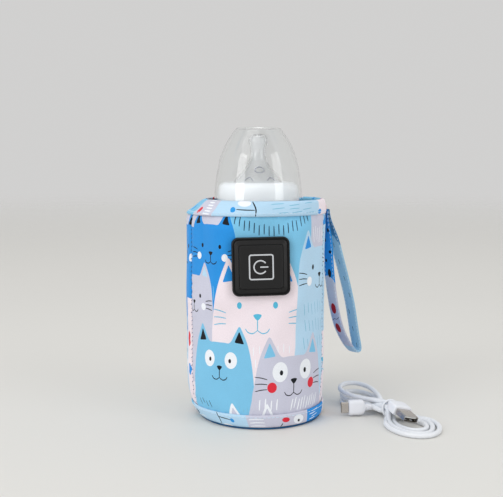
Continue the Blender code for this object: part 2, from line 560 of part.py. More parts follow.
# large plug, lying on the hank and pointing forwards
A_DIR = Vector((0.28, -0.94, -0.19)).normalized()
A_SIDE = Vector((0.955, 0.285, 0.0)).normalized()
A_SIDE = (A_SIDE - A_DIR * A_SIDE.dot(A_DIR)).normalized()
A_ROLL = Matrix.Rotation(math.radians(-14), 3, A_DIR)
A_SIDE = A_ROLL @ A_SIDE
A_UP = A_SIDE.cross(A_DIR)
A_FROM = Vector((101.0, -33.2, 12.6))


def a_frame(along):
    o = A_FROM + A_DIR * along
    m = Matrix.Identity(4)
    for col, v in enumerate((A_SIDE, -A_UP, A_DIR)):
        for row in range(3):
            m[row][col] = v[row]
    return Matrix.Translation(o * MM) @ m


a_shell = slab("usb_a_shell", rounded(12.0, 4.5, 0.5, 1), 11.6, STEEL, a_frame(12.6))
boolean(a_shell, slab("cut_a_shell", rounded(11.3, 3.8, 0.3, 1), 11.6, None, a_frame(13.6), cutters))
for i, x in enumerate((-2.6, 2.6)):
    boolean(a_shell, slab(f"cut_a_window_{i}", [(x - 1, -4), (x + 1, -4), (x + 1, 0), (x - 1, 0)], 2.2, None, a_frame(19.6), cutters))
slab("usb_a_insert", [(-5.4, 0.0), (5.4, 0.0), (5.4, 1.7), (-5.4, 1.7)], 8.4, WHITE, a_frame(14.2))
slab("usb_a_body", rounded(15.0, 7.4, 1.6, 2), 12.2, CORD, a_frame(0.0), bevel=0.7)
tube("usb_a_strain_relief", [A_FROM - A_DIR * 0.4, A_FROM - A_DIR * 2.2, A_FROM - A_DIR * 4.0], 5.4, CORD, radii=[1.0, 0.9, 0.78])

for o in parts.objects:
    if o.type == "MESH" and o.name.startswith(("bottle_", "rim_", "base_b", "outer_", "inner_")):
        o.data.shade_smooth()
        o.data.set_sharp_from_angle(angle=math.radians(40))
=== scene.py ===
"""The looks of the soft USB bottle warmer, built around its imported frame."""

import math
import random

import bmesh
import bpy
import numpy as np
from mathutils import Matrix, Vector, noise
from mathutils.geometry import delaunay_2d_cdt


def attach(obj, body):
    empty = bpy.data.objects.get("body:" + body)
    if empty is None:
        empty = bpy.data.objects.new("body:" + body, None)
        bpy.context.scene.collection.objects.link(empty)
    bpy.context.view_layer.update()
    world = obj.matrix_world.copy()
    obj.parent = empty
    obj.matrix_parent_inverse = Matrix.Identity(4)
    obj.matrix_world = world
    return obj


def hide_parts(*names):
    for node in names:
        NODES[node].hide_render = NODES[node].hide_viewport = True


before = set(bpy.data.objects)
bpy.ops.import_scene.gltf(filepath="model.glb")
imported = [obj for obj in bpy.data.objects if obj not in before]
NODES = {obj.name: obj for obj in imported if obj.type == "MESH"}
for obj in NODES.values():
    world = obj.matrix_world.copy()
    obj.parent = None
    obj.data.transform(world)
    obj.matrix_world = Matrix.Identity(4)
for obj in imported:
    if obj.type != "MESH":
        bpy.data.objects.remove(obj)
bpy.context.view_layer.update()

MM = 0.001
random.seed(7)
scene = bpy.context.scene

# ----------------------------------------------------------------- the camera
cam_data = bpy.data.cameras.new("camera")
cam_data.sensor_width, cam_data.lens = 36.0, 63.34
cam_data.clip_start, cam_data.clip_end = 0.01, 50.0
camera = bpy.data.objects.new("camera", cam_data)
scene.collection.objects.link(camera)
right, up, ahead = Vector((0.99723, -0.07443, 0)), Vector((0.00765, 0.10251, 0.99470)), Vector((0.07403, 0.99194, -0.10279))
m = Matrix.Identity(4)
for row in range(3):
    m[row][0], m[row][1], m[row][2] = right[row], up[row], -ahead[row]
camera.matrix_world = Matrix.Translation((-0.05397, -0.67083, 0.197)) @ m
scene.camera = camera

# ---------------------------------------------------------- the bag's own form
R_BODY = 52.6
SHAPE = [
    (0.0, 3.0, 46.2, 47.5), (4.0, 2.2, 47.6, 48.3), (11.0, 0.6, 50.0, 49.3), (22.0, -0.5, 51.8, 49.5), (40.0, -0.75, 52.6, 49.5),
    (150.0, -0.75, 52.6, 49.5), (155.0, -0.4, 52.0, 49.3), (160.0, 2.6, 48.8, 48.2), (166.0, 5.75, 45.2, 46.8),
]
FRONT_Y = -47.6
SEAM_A, SEAM_B = 200.0, 340.0
CTRL_X, CTRL_Z, CTRL_TILT = -0.9, 119.7, -1.2
BOTTLE_X = 1.2


def ease(x):
    x = min(1.0, max(0.0, x))
    return x * x * (3 - 2 * x)


def lookup(z):
    """The bag's middle and half widths at a height, on a smooth line through SHAPE."""
    n = len(SHAPE)
    z = min(166.0, max(0.0, z))
    for i in range(n - 1):
        if z <= SHAPE[i + 1][0]:
            break
    z0, z1 = SHAPE[i][0], SHAPE[i + 1][0]
    t = (z - z0) / (z1 - z0)
    out = []
    for k in (1, 2, 3):
        p0, p1 = SHAPE[i][k], SHAPE[i + 1][k]

        def slope(j):
            if j <= 0 or j >= n - 1:
                j0, j1 = max(0, j - 1), min(n - 1, j + 1)
            else:
                a = (SHAPE[j][k] - SHAPE[j - 1][k]) / (SHAPE[j][0] - SHAPE[j - 1][0])
                b = (SHAPE[j + 1][k] - SHAPE[j][k]) / (SHAPE[j + 1][0] - SHAPE[j][0])
                return 0.0 if a * b <= 0 else 2 * a * b / (a + b)
            return (SHAPE[j1][k] - SHAPE[j0][k]) / (SHAPE[j1][0] - SHAPE[j0][0])

        m0, m1, h = slope(i), slope(i + 1), z1 - z0
        t2, t3 = t * t, t * t * t
        out.append((2 * t3 - 3 * t2 + 1) * p0 + (t3 - 2 * t2 + t) * h * m0 + (3 * t2 - 2 * t3) * p1 + (t3 - t2) * h * m1)
    return out


def bag_point(r, deg, z):
    cx, a, b = lookup(z)
    t = math.radians(deg)
    x, y = cx + a / R_BODY * r * math.cos(t), b / R_BODY * r * math.sin(t)
    off = abs((deg - 270 + 180) % 360 - 180)
    weight = ease((52 - off) / 28) * ease((z - 76) / 22) * ease((155 - z) / 10)
    y += weight * (FRONT_Y - b * math.sin(t))
    return Vector((x, y, z))


def deg_of(u):
    return 270.0 + math.degrees(u / R_BODY)


def smooth_line(points, per=3, closed=False):
    pts = [Vector((*p, 0)) if len(p) == 2 else Vector(p) for p in points]
    n = len(pts)
    ext = [pts[-1]] + pts + [pts[0], pts[1]] if closed else [2 * pts[0] - pts[1]] + pts + [2 * pts[-1] - pts[-2]]
    out = []
    for i in range(1, len(ext) - 2):
        p0, p1, p2, p3 = ext[i - 1 : i + 3]
        for j in range(per):
            t = j / per
            out.append(0.5 * (2 * p1 + (p2 - p0) * t + (2 * p0 - 5 * p1 + 4 * p2 - p3) * t * t + (3 * p1 - p0 - 3 * p2 + p3) * t ** 3))
    return out if closed else out + [pts[-1]]


# ------------------------------------------------------------------ materials
def nodes_of(name):
    mat = bpy.data.materials.new(name)
    mat.use_nodes = True
    return mat, mat.node_tree, mat.node_tree.nodes["Principled BSDF"]


def add(tree, kind, **values):
    node = tree.nodes.new("ShaderNode" + kind)
    for key, value in values.items():
        if hasattr(node, key) and not key.startswith("in_"):
            setattr(node, key, value)
        else:
            node.inputs[key.replace("in_", "").replace("_", " ")].default_value = value
    return node


def mix_rgb(tree, how, factor, a, b):
    node = tree.nodes.new("ShaderNodeMix")
    node.data_type, node.blend_type = "RGBA", how
    for sock, value in ((node.inputs[0], factor), (node.inputs[6], a), (node.inputs[7], b)):
        if isinstance(value, bpy.types.NodeSocket):
            tree.links.new(value, sock)
        else:
            sock.default_value = value if isinstance(value, (int, float)) else (*value, 1)
    return node.outputs[2]


def fabric(name, rgb=None, weave=0.55, rough=0.86, bump=0.18):
    """Printed twill: colour from the print, cross-woven threads, a heathered grain and a soft sheen."""
    mat, tree, b = nodes_of(name)
    link = tree.links.new
    uv = add(tree, "UVMap", uv_map="cloth")
    twill = add(tree, "Mapping")
    twill.inputs["Rotation"].default_value = (0, 0, math.radians(32))
    link(uv.outputs["UV"], twill.inputs["Vector"])
    warp = add(tree, "TexWave", wave_type="BANDS", bands_direction="X", in_Scale=1 / weave * 0.32, in_Distortion=1.1, in_Detail=1.0)
    warp.inputs["Detail Scale"].default_value = 2.0
    link(twill.outputs["Vector"], warp.inputs["Vector"])
    weft = add(tree, "TexWave", wave_type="BANDS", bands_direction="Y", in_Scale=1 / weave * 0.26, in_Distortion=0.8, in_Detail=1.0)
    link(uv.outputs["UV"], weft.inputs["Vector"])
    grain = add(tree, "TexNoise", in_Scale=1.1, in_Detail=4.0, in_Roughness=0.65)
    link(uv.outputs["UV"], grain.inputs["Vector"])
    cloud = add(tree, "TexNoise", in_Scale=0.035, in_Detail=3.0)
    link(uv.outputs["UV"], cloud.inputs["Vector"])
    if rgb is None:
        colour = add(tree, "VertexColor", layer_name="print").outputs["Color"]
    else:
        base = add(tree, "RGB")
        base.outputs[0].default_value = (*rgb, 1)
        colour = base.outputs[0]
    ramp = add(tree, "MapRange", in_From_Min=0.0, in_From_Max=1.0, in_To_Min=0.90, in_To_Max=1.05)
    link(warp.outputs["Fac"], ramp.inputs["Value"])
    shade = mix_rgb(tree, "MULTIPLY", 0.75, colour, (1, 1, 1))
    grey = add(tree, "CombineColor")
    for k in range(3):
        link(ramp.outputs[0], grey.inputs[k])
    link(grey.outputs[0], shade.node.inputs[7])
    ramp2 = add(tree, "MapRange", in_From_Min=0.3, in_From_Max=0.7, in_To_Min=0.955, in_To_Max=1.035)
    link(grain.outputs["Fac"], ramp2.inputs["Value"])
    grey2 = add(tree, "CombineColor")
    for k in range(3):
        link(ramp2.outputs[0], grey2.inputs[k])
    shade2 = mix_rgb(tree, "MULTIPLY", 1.0, shade, grey2.outputs[0])
    ramp3 = add(tree, "MapRange", in_From_Min=0.3, in_From_Max=0.7, in_To_Min=0.965, in_To_Max=1.02)
    link(cloud.outputs["Fac"], ramp3.inputs["Value"])
    grey3 = add(tree, "CombineColor")
    for k in range(3):
        link(ramp3.outputs[0], grey3.inputs[k])
    shade3 = mix_rgb(tree, "MULTIPLY", 1.0, shade2, grey3.outputs[0])
    link(shade3, b.inputs["Base Color"])
    rr = add(tree, "MapRange", in_From_Min=0.0, in_From_Max=1.0, in_To_Min=rough - 0.06, in_To_Max=rough + 0.06)
    link(grain.outputs["Fac"], rr.inputs["Value"])
    link(rr.outputs[0], b.inputs["Roughness"])
    height = add(tree, "Math", operation="ADD")
    link(warp.outputs["Fac"], height.inputs[0])
    link(weft.outputs["Fac"], height.inputs[1])
    bp = add(tree, "Bump", in_Strength=bump, in_Distance=0.0002)
    link(height.outputs[0], bp.inputs["Height"])
    link(bp.outputs["Normal"], b.inputs["Normal"])
    b.inputs["Sheen Weight"].default_value = 0.12
    b.inputs["Sheen Roughness"].default_value = 0.45
    b.inputs["Specular IOR Level"].default_value = 0.3
    return mat


def solid(name, rgb, rough=0.4, metal=0.0, grain=600.0, bump=0.05, vary=0.06, clear=0.0, ior=1.45, coat=0.0, stretch=(1, 1, 1), sss=0.0):
    """A plastic, rubber or metal with a fine surface, small colour changes and uneven gloss."""
    mat, tree, b = nodes_of(name)
    link = tree.links.new
    where = add(tree, "TexCoord")
    mapping = add(tree, "Mapping")
    mapping.inputs["Scale"].default_value = stretch
    link(where.outputs["Object"], mapping.inputs["Vector"])
    fine = add(tree, "TexNoise", in_Scale=grain, in_Detail=3.0, in_Roughness=0.6)
    wide = add(tree, "TexNoise", in_Scale=grain / 14, in_Detail=3.0)
    link(mapping.outputs["Vector"], fine.inputs["Vector"])
    link(mapping.outputs["Vector"], wide.inputs["Vector"])
    dark = tuple(c * (1 - vary) for c in rgb)
    light = tuple(min(1.0, c * (1 + vary * 0.6)) for c in rgb)
    link(mix_rgb(tree, "MIX", wide.outputs["Fac"], dark, light), b.inputs["Base Color"])
    rr = add(tree, "MapRange", in_From_Min=0.3, in_From_Max=0.7, in_To_Min=max(0.0, rough * 0.85), in_To_Max=min(1.0, rough * 1.18))
    link(wide.outputs["Fac"], rr.inputs["Value"])
    link(rr.outputs[0], b.inputs["Roughness"])
    if bump:
        bp = add(tree, "Bump", in_Strength=bump, in_Distance=0.0001)
        link(fine.outputs["Fac"], bp.inputs["Height"])
        link(bp.outputs["Normal"], b.inputs["Normal"])
    b.inputs["Metallic"].default_value = metal
    b.inputs["Transmission Weight"].default_value = clear
    b.inputs["IOR"].default_value = ior
    b.inputs["Coat Weight"].default_value = coat
    b.inputs["Coat Roughness"].default_value = 0.12
    if sss:
        b.inputs["Subsurface Weight"].default_value = sss
        b.inputs["Subsurface Radius"].default_value = (0.004, 0.004, 0.004)
        b.inputs["Subsurface Scale"].default_value = 1.0
    return mat


def lin(r, g, b):
    """Linear colour from the 0-255 values seen."""
    return tuple((c / 255 / 12.92) if c / 255 <= 0.04045 else ((c / 255 + 0.055) / 1.055) ** 2.4 for c in (r, g, b))


INKS = {
    "P": lin(241, 229, 236), "S": lin(126, 196, 232), "R": lin(38, 146, 226), "L": lin(183, 217, 241), "G": lin(203, 204, 221),
    "W": lin(240, 244, 250), "K": lin(14, 18, 26), "D": lin(222, 44, 62), "T": lin(86, 186, 220), "T2": lin(128, 190, 218),
    "N": lin(28, 58, 82), "B": lin(44, 152, 226),
}
PRINTED = fabric("printed_twill")
PRINTED_BAND = fabric("printed_binding", weave=0.5, bump=0.14)
PRINTED_TAPE = fabric("printed_tape", weave=0.5, bump=0.2)
THREAD = solid("stitch_thread", lin(206, 226, 242), 0.75, grain=2500, bump=0.3)
THREAD_DARK = solid("seam_thread", lin(60, 96, 140), 0.8, grain=2500, bump=0.3)
PIPING = solid("base_edge_cloth", lin(32, 92, 140), 0.85, grain=1800, bump=0.35, vary=0.15)
BLACK = solid("satin_black_silicone", lin(23, 23, 24), 0.5, grain=1500, bump=0.10, vary=0.12, coat=0.0)
BLACK_RIM = solid("satin_black_rim", lin(20, 20, 21), 0.4, grain=1300, bump=0.08, vary=0.1)
ICON = solid("grey_icon_print", lin(198, 201, 206), 0.5, grain=1800, bump=0.08)
CLEAR = solid("clear_polished_plastic", (0.97, 0.98, 0.98), 0.03, grain=80, bump=0.0, vary=0.01, clear=1.0, ior=1.46)
SILICONE = solid("clear_silicone", (0.93, 0.94, 0.95), 0.16, grain=160, bump=0.02, vary=0.02, clear=0.93, ior=1.41)
WHITE = solid("white_polished_plastic", lin(232, 236, 240), 0.22, grain=400, bump=0.02, vary=0.015, coat=0.3)
CORD_M = solid("white_cable_jacket", lin(226, 229, 234), 0.38, grain=900, bump=0.08, vary=0.03, sss=0.15)
PLUG_M = solid("white_plug_moulding", lin(228, 230, 236), 0.33, grain=1100, bump=0.09, vary=0.03, sss=0.12)
STEEL = solid("plated_steel", lin(196, 190, 184), 0.24, 1.0, grain=300, bump=0.05, vary=0.08, stretch=(1, 1, 8))
CONTACT = solid("plug_insert", lin(236, 236, 232), 0.4, grain=900, bump=0.05)
FOIL = solid("foil_lining", lin(196, 199, 204), 0.34, 0.9, grain=220, bump=0.45, vary=0.08)
FOAM = solid("white_foam", lin(232, 233, 235), 0.95, grain=900, bump=0.5, vary=0.07)
FILM = solid("heater_film_amber", lin(204, 146, 78), 0.35, grain=500, bump=0.08, vary=0.12)
WIRE = solid("heating_wire_alloy", lin(150, 142, 134), 0.35, 1.0, grain=1500, bump=0.1)
BOARD = solid("circuit_board_green", lin(24, 96, 58), 0.45, grain=1500, bump=0.12, vary=0.2, coat=0.3)
CHIP = solid("component_black", lin(28, 28, 30), 0.5, grain=1600, bump=0.1)
VENT = solid("silicone_vent_edge", lin(186, 188, 200), 0.35, grain=400, bump=0.03, vary=0.03, clear=0.45, ior=1.41)
for black in (BLACK, BLACK_RIM):
    black.node_tree.nodes["Principled BSDF"].inputs["Specular IOR Level"].default_value = 0.34
LENS = solid("led_resin", lin(240, 240, 226), 0.2, grain=900, bump=0.02)
STIFF = solid("base_board_fibre", lin(96, 98, 102), 0.8, grain=700, bump=0.3, vary=0.12)


def new_mesh(name, verts, faces, mat, body, smooth=True, uv=None, angle=None):
    """A piece from points in millimetres. uv gives each vertex its place in the flat cloth."""
    mesh = bpy.data.meshes.new(name)
    mesh.from_pydata([tuple(c * MM for c in v) for v in verts], [], faces)
    mesh.update()
    if uv is not None:
        layer = mesh.uv_layers.new(name="cloth")
        data = np.array([uv[l.vertex_index] for l in mesh.loops], np.float32).reshape(-1)
        layer.data.foreach_set("uv", data)
    mesh.materials.append(mat)
    obj = bpy.data.objects.new(name, mesh)
    scene.collection.objects.link(obj)
    if smooth:
        mesh.shade_smooth()
        if angle:
            mesh.set_sharp_from_angle(angle=math.radians(angle))
    if body:
        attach(obj, body)
    return obj


def apply_mods(obj):
    bpy.context.view_layer.update()
    graph = bpy.context.evaluated_depsgraph_get()
    mesh = bpy.data.meshes.new_from_object(obj.evaluated_get(graph), depsgraph=graph)
    obj.modifiers.clear()
    obj.data = mesh
    return obj


def lathe(name, outline, mat, body, at=(0, 0, 0), steps=96, per=4, sharp=(), angle=None):
    """A turned piece. outline is a closed (radius, height) line down the outside and up the inside; points listed in sharp stay corners."""
    runs, current = [], [outline[0]]
    for i in range(1, len(outline)):
        current.append(outline[i])
        if i in sharp or i == len(outline) - 1:
            runs.append(current)
            current = [outline[i]]
    line = []
    for run in runs:
        pts = smooth_line(run, per) if len(run) > 2 else [Vector((*p, 0)) for p in run]
        line += pts[:-1]
    line.append(Vector((*outline[-1], 0)))
    pts = [(max(0.0, p.x), p.y) for p in line]
    closed = pts[0][0] > 0.01
    if closed and (Vector(pts[0]) - Vector(pts[-1])).length < 1e-6:
        pts.pop()
    verts, faces, rings = [], [], []
    for r, z in pts:
        if r < 0.01:
            rings.append([len(verts)] * steps)
            verts.append((at[0], at[1], z + at[2]))
        else:
            rings.append(list(range(len(verts), len(verts) + steps)))
            verts += [(at[0] + r * math.cos(2 * math.pi * k / steps), at[1] + r * math.sin(2 * math.pi * k / steps), z + at[2]) for k in range(steps)]
    pairs = list(zip(rings, rings[1:])) + ([(rings[-1], rings[0])] if closed else [])
    for a, b in pairs:
        for k in range(steps):
            j = (k + 1) % steps
            face = [a[k], b[k], b[j], a[j]]
            face = [v for n, v in enumerate(face) if v not in face[:n]]
            if len(face) > 2:
                faces.append(face)
    obj = new_mesh(name, verts, faces, mat, None, angle=angle)
    bm = bmesh.new()
    bm.from_mesh(obj.data)
    bmesh.ops.recalc_face_normals(bm, faces=bm.faces)
    bm.to_mesh(obj.data)
    bm.free()
    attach(obj, body)
    return obj


def bar(name, points, radius, mat, body, sides=10, radii=None, closed=False, flat=1.0):
    """A round thread, wire or relief along points in millimetres."""
    verts, faces = [], []
    n = len(points)
    pts = [Vector(p) for p in points]
    side = None
    for i, p in enumerate(pts):
        a, b = pts[(i - 1) % n if closed else max(0, i - 1)], pts[(i + 1) % n if closed else min(n - 1, i + 1)]
        d = (b - a).normalized()
        if side is None:
            side = d.orthogonal().normalized()
        side = (side - d * side.dot(d)).normalized()
        other = d.cross(side)
        r = radius * (radii[i] if radii else 1.0)
        for k in range(sides):
            t = 2 * math.pi * k / sides
            verts.append(p + side * r * math.cos(t) + other * r * flat * math.sin(t))
    for i in range(n if closed else n - 1):
        for k in range(sides):
            j, i2 = (k + 1) % sides, (i + 1) % n
            faces.append([i * sides + k, i * sides + j, i2 * sides + j, i2 * sides + k])
    if not closed:
        faces.append(list(range(sides))[::-1])
        faces.append([(n - 1) * sides + k for k in range(sides)])
    return new_mesh(name, verts, faces, mat, body, angle=60)


# -------------------------------------------------------------------- the cord
HANK_A = Vector((84.0, 14.0, 0.0))
HANK_DIR = Vector((29.0, -71.0, 0.0)).normalized()
HANK_SIDE = Vector((-HANK_DIR.y, HANK_DIR.x, 0.0))
CORD_D = 3.8


def hank(s, n, z=0.0):
    return HANK_A + HANK_DIR * s + HANK_SIDE * n + Vector((0, 0, z))


C_AT = Matrix.Translation(Vector((69.0, -18.4, 6.7)) * MM) @ Matrix.Rotation(math.radians(3), 4, "Z") @ Matrix.Rotation(math.radians(-9), 4, "X")
A_DIR = Vector((0.28, -0.94, -0.19)).normalized()
A_SIDE = Vector((0.955, 0.285, 0.0)).normalized()
A_SIDE = (A_SIDE - A_DIR * A_SIDE.dot(A_DIR)).normalized()
A_SIDE = Matrix.Rotation(math.radians(-14), 3, A_DIR) @ A_SIDE
A_UP = A_SIDE.cross(A_DIR)
A_FROM = Vector((101.0, -33.2, 12.6))
c_tip = C_AT @ (Vector((18.6, 0, 0)) * MM) / MM

route = [c_tip, c_tip + Vector((1.4, -0.3, -0.1))]
route += [hank(*p) for p in (
    (33.2, -7.2, 6.1), (36.5, -5.2, 5.3), (41.2, -3.4, 5.0),
    # first turn of the front loop
    (46, -5.0, 3.6), (52, -10.6, 2.2), (60, -16, 1.9), (72, -19, 1.9), (84, -17.6, 1.9), (92.6, -11, 1.9), (94.6, -1.5, 1.9), (89.5, 8.5, 1.9), (79, 16.5, 1.9), (67, 19.2, 1.9), (57, 14.8, 1.9), (50, 8.6, 2.6), (45.6, 4.8, 4.0), (41.2, 3.4, 5.0),
    # first turn of the rear loop
    (36, 3.9, 4.6), (30, 5.9, 3.1), (22, 8.9, 2.0), (12, 11.4, 1.9), (2, 12.4, 1.9), (-8, 10.6, 1.9), (-14, 5, 1.9), (-15, -3, 1.9), (-10.5, -10, 1.9), (-2, -13.6, 1.9), (7, -12, 1.9), (15, -8.6, 2.4), (21, -6.5, 4.1), (26, -5.2, 5.8), (30, -4.6, 7.0), (33, -4.0, 8.0), (36, -3.6, 8.6), (41.2, -3.4, 8.9),
    (46, -4.6, 7.4), (51, -7.6, 4.4), (58, -11.6, 2.3), (70, -14.8, 1.9), (82, -13.4, 1.9), (89, -8.2, 1.9), (90.2, -1.4, 1.9), (85.4, 5.8, 1.9), (76.6, 12.4, 1.9), (67, 14.9, 1.9), (58, 11.0, 2.1), (51.5, 6.4, 4.4), (46, 4.4, 7.6), (41.2, 3.4, 8.9),
    (36, 3.6, 8.2), (30, 5.0, 7.1), (22, 7.8, 6.0), (12, 10.4, 5.8), (3, 11.4, 5.9), (-6, 10.2, 6.2), (-12.5, 5.4, 6.7), (-14.5, -2, 7.1), (-11.5, -9, 6.9), (-4, -12.9, 6.3), (5, -11.8, 5.9), (13, -7.0, 5.5), (20, -2.0, 3.9), (27, -0.3, 3.1), (34, 0, 3.05), (41.2, 0, 3.05),
    (47, -1.4, 2.4), (53, -4.6, 1.9), (61, -8.6, 1.9), (70, -10.2, 1.9), (79, -8.4, 1.9), (83.2, -2.0, 1.9), (80, 5.0, 1.9), (72, 9.4, 1.9), (62.5, 8.6, 1.9), (54, 4.2, 3.6), (47.6, 1.2, 6.2), (41.2, 0, 6.9),
    (36, 0.2, 7.0), (30, 0.8, 8.1), (24, 3.4, 9.6), (16, 7.2, 10.0), (6, 10.2, 10.8), (-4, 10.4, 12.2), (-11.5, 6.2, 13.4), (-15, -1, 13.8), (-13, -9, 13.2), (-6, -14.2, 12.2), (4, -14.6, 11.2), (13, -11.4, 10.4), (21, -7.6, 10.3), (29, -4.0, 10.8), (36, -1.4, 11.0), (41.2, -0.3, 11.2), (44.2, -1.0, 12.5),
)]
route.append(A_FROM - A_DIR * 4.0)
line = smooth_line(route, 5)
curve = bpy.data.curves.new("charging_cord", "CURVE")
curve.dimensions, curve.bevel_depth, curve.bevel_resolution, curve.use_fill_caps = "3D", CORD_D / 2 * MM, 5, True
spline = curve.splines.new("POLY")
spline.points.add(len(line) - 1)
for k, p in enumerate(line):
    spline.points[k].co = (*(p * MM), 1)
curve.materials.append(CORD_M)
cord = bpy.data.objects.new("charging_cord", curve)
scene.collection.objects.link(cord)
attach(cord, "cable")
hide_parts("cable_coil_rear", "cable_coil_front", "cable_waist", "cable_lead")

tie_ring = []
for k in range(60):
    a = 2 * math.pi * k / 60
    tie_ring.append(hank(41.2 + 0.5 * math.sin(2 * a), 6.5 * math.cos(a), 7.3 + 6.2 * math.sin(a)))
tie = bar("hank_tie", tie_ring, 0.95, CORD_M, "cable", 10, closed=True)
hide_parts("cable_tie")


def loft(name, rings, mat, body, angle=40):
    verts, faces = [], []
    n = len(rings[0])
    for ring in rings:
        verts += list(ring)
    for i in range(len(rings) - 1):
        for k in range(n):
            j = (k + 1) % n
            faces.append([i * n + k, i * n + j, (i + 1) * n + j, (i + 1) * n + k])
    faces.append(list(range(n))[::-1])
    faces.append([(len(rings) - 1) * n + k for k in range(n)])
    obj = new_mesh(name, verts, faces, mat, None, angle=angle)
    bm = bmesh.new()
    bm.from_mesh(obj.data)
    bmesh.ops.recalc_face_normals(bm, faces=bm.faces)
    bm.to_mesh(obj.data)
    bm.free()
    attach(obj, body)
    return obj


def rounded(w, h, r, n=8):
    r = max(0.01, min(r, w / 2, h / 2))
    ring = []
    for cx, cy, a in ((w / 2 - r, h / 2 - r, 0), (r - w / 2, h / 2 - r, 90), (r - w / 2, r - h / 2, 180), (w / 2 - r, r - h / 2, 270)):
        ring += [(cx + r * math.cos(math.radians(a + 90 * i / n)), cy + r * math.sin(math.radians(a + 90 * i / n))) for i in range(n + 1)]
    return ring


def c_ring(x, w, h, r):
    return [(C_AT @ (Vector((x, y, z)) * MM)) / MM for y, z in rounded(w, h, r)]


def a_ring(along, w, h, r, lift=0.0):
    o = A_FROM + A_DIR * along
    return [o + A_SIDE * x - A_UP * (y + lift) for x, y in rounded(w, h, r)]


c_body = loft("small_plug_body", [c_ring(x, w, h, r) for x, w, h, r in (
    (0.0, 5.0, 10.2, 2.2), (0.25, 5.7, 11.0, 2.5), (0.8, 6.2, 11.5, 2.7), (1.6, 6.4, 11.75, 2.8), (8.5, 6.4, 11.75, 2.8),
    (10.2, 6.25, 11.4, 2.8), (11.4, 5.9, 10.4, 2.8), (12.0, 5.5, 9.0, 2.7), (12.25, 5.0, 7.6, 2.5))], PLUG_M, "cable")
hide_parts("usb_c_body")
rib = [(12.1, 2.95), (13.0, 2.95), (13.15, 2.45), (13.6, 2.45), (13.75, 2.85), (14.5, 2.82), (14.65, 2.35), (15.1, 2.33), (15.25, 2.7), (16.0, 2.66), (16.15, 2.22), (16.6, 2.2), (16.75, 2.5), (17.5, 2.44), (17.7, 2.1), (18.6, 2.05)]
c_relief = bar("small_plug_relief", [C_AT @ (Vector((x, 0, 0)) * MM) / MM for x, r in rib], 1.0, PLUG_M, "cable", 20, radii=[r for x, r in rib])
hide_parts("usb_c_strain_relief")
a_body = loft("large_plug_body", [a_ring(x, w, h, r) for x, w, h, r in (
    (-0.1, 9.4, 5.6, 2.0), (0.15, 11.4, 6.4, 2.2), (0.8, 13.4, 7.0, 2.1), (2.2, 14.6, 7.3, 1.9), (4.0, 15.0, 7.4, 1.7), (10.6, 15.0, 7.4, 1.6),
    (11.6, 14.8, 7.2, 1.5), (12.1, 14.3, 6.7, 1.3), (12.25, 13.6, 6.0, 1.0))], PLUG_M, "cable")
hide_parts("usb_a_body")
rib = [(0.0, 2.7), (-0.9, 2.6), (-1.0, 2.25), (-1.4, 2.25), (-1.5, 2.5), (-2.2, 2.42), (-2.3, 2.1), (-2.7, 2.1), (-2.8, 2.35), (-3.4, 2.28), (-3.5, 2.05), (-4.0, 2.0)]
a_relief = bar("large_plug_relief", [A_FROM + A_DIR * x for x, r in rib], 1.0, PLUG_M, "cable", 20, radii=[r for x, r in rib])
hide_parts("usb_a_strain_relief")

# --------------------------------------------------------------- printed cloth


def seam_distance(deg, r=R_BODY):
    return min(abs((deg - s + 180) % 360 - 180) for s in (SEAM_A, SEAM_B)) * math.pi / 180 * r


def puff(deg, z):
    """How far the stuffed cloth stands out from its nominal round, in millimetres."""
    t = math.radians(deg)
    x, y = math.cos(t), math.sin(t)
    out = 0.55 * noise.noise(Vector((x * 1.6, y * 1.6, z / 38.0))) + 0.22 * noise.noise(Vector((x * 4.4, y * 4.4, z / 16.0 + 7)))
    d = seam_distance(deg)
    out += 0.25 * math.exp(-((d - 5.0) / 4.0) ** 2) - 1.0 * math.exp(-(d / 1.3) ** 2)
    out += 0.30 * math.sin(z * 0.95 + 2.2 * noise.noise(Vector((x, y, z / 20.0)))) * math.exp(-(d / 5.5) ** 2)
    top, low = max(0.0, 154.5 - z), max(0.0, z - 11.0)
    gather = math.sin(deg * 0.62 + 3.0 * noise.noise(Vector((x * 2, y * 2, 3.0)))) * 0.7 + math.sin(deg * 1.31 + 1.0) * 0.3
    out += 0.34 * gather * math.exp(-(top / 8.0) ** 1.4) + 0.30 * gather * math.exp(-(low / 8.0) ** 1.4)
    out -= 0.35 * math.exp(-(top / 2.2) ** 2) + 0.35 * math.exp(-(low / 2.2) ** 2)
    off = abs((deg - 270 + 180) % 360 - 180)
    flat = ease((40 - off) / 18) * ease((z - 76) / 22) * ease((152 - z) / 8)
    return out * (1 - flat)


def cloth_point(u, z, lift=0.0):
    deg = deg_of(u)
    return bag_point(R_BODY + lift + puff(deg, z), deg, z)


def stroke_outline(points, width):
    pts = smooth_line(points, 3) if len(points) > 2 else [Vector((*p, 0)) for p in points]
    left, right_side = [], []
    n = len(pts)
    for i, p in enumerate(pts):
        d = (pts[min(n - 1, i + 1)] - pts[max(0, i - 1)]).normalized()
        w = width / 2 * (0.62 + 0.38 * math.sin(math.pi * (i + 0.6) / (n + 0.2)))
        side = Vector((-d.y, d.x, 0)) * w
        left.append(p + side)
        right_side.append(p - side)
    start = pts[0] - (pts[1] - pts[0]).normalized() * width * 0.35
    end = pts[-1] + (pts[-1] - pts[-2]).normalized() * width * 0.35
    return [start] + left + [end] + right_side[::-1]


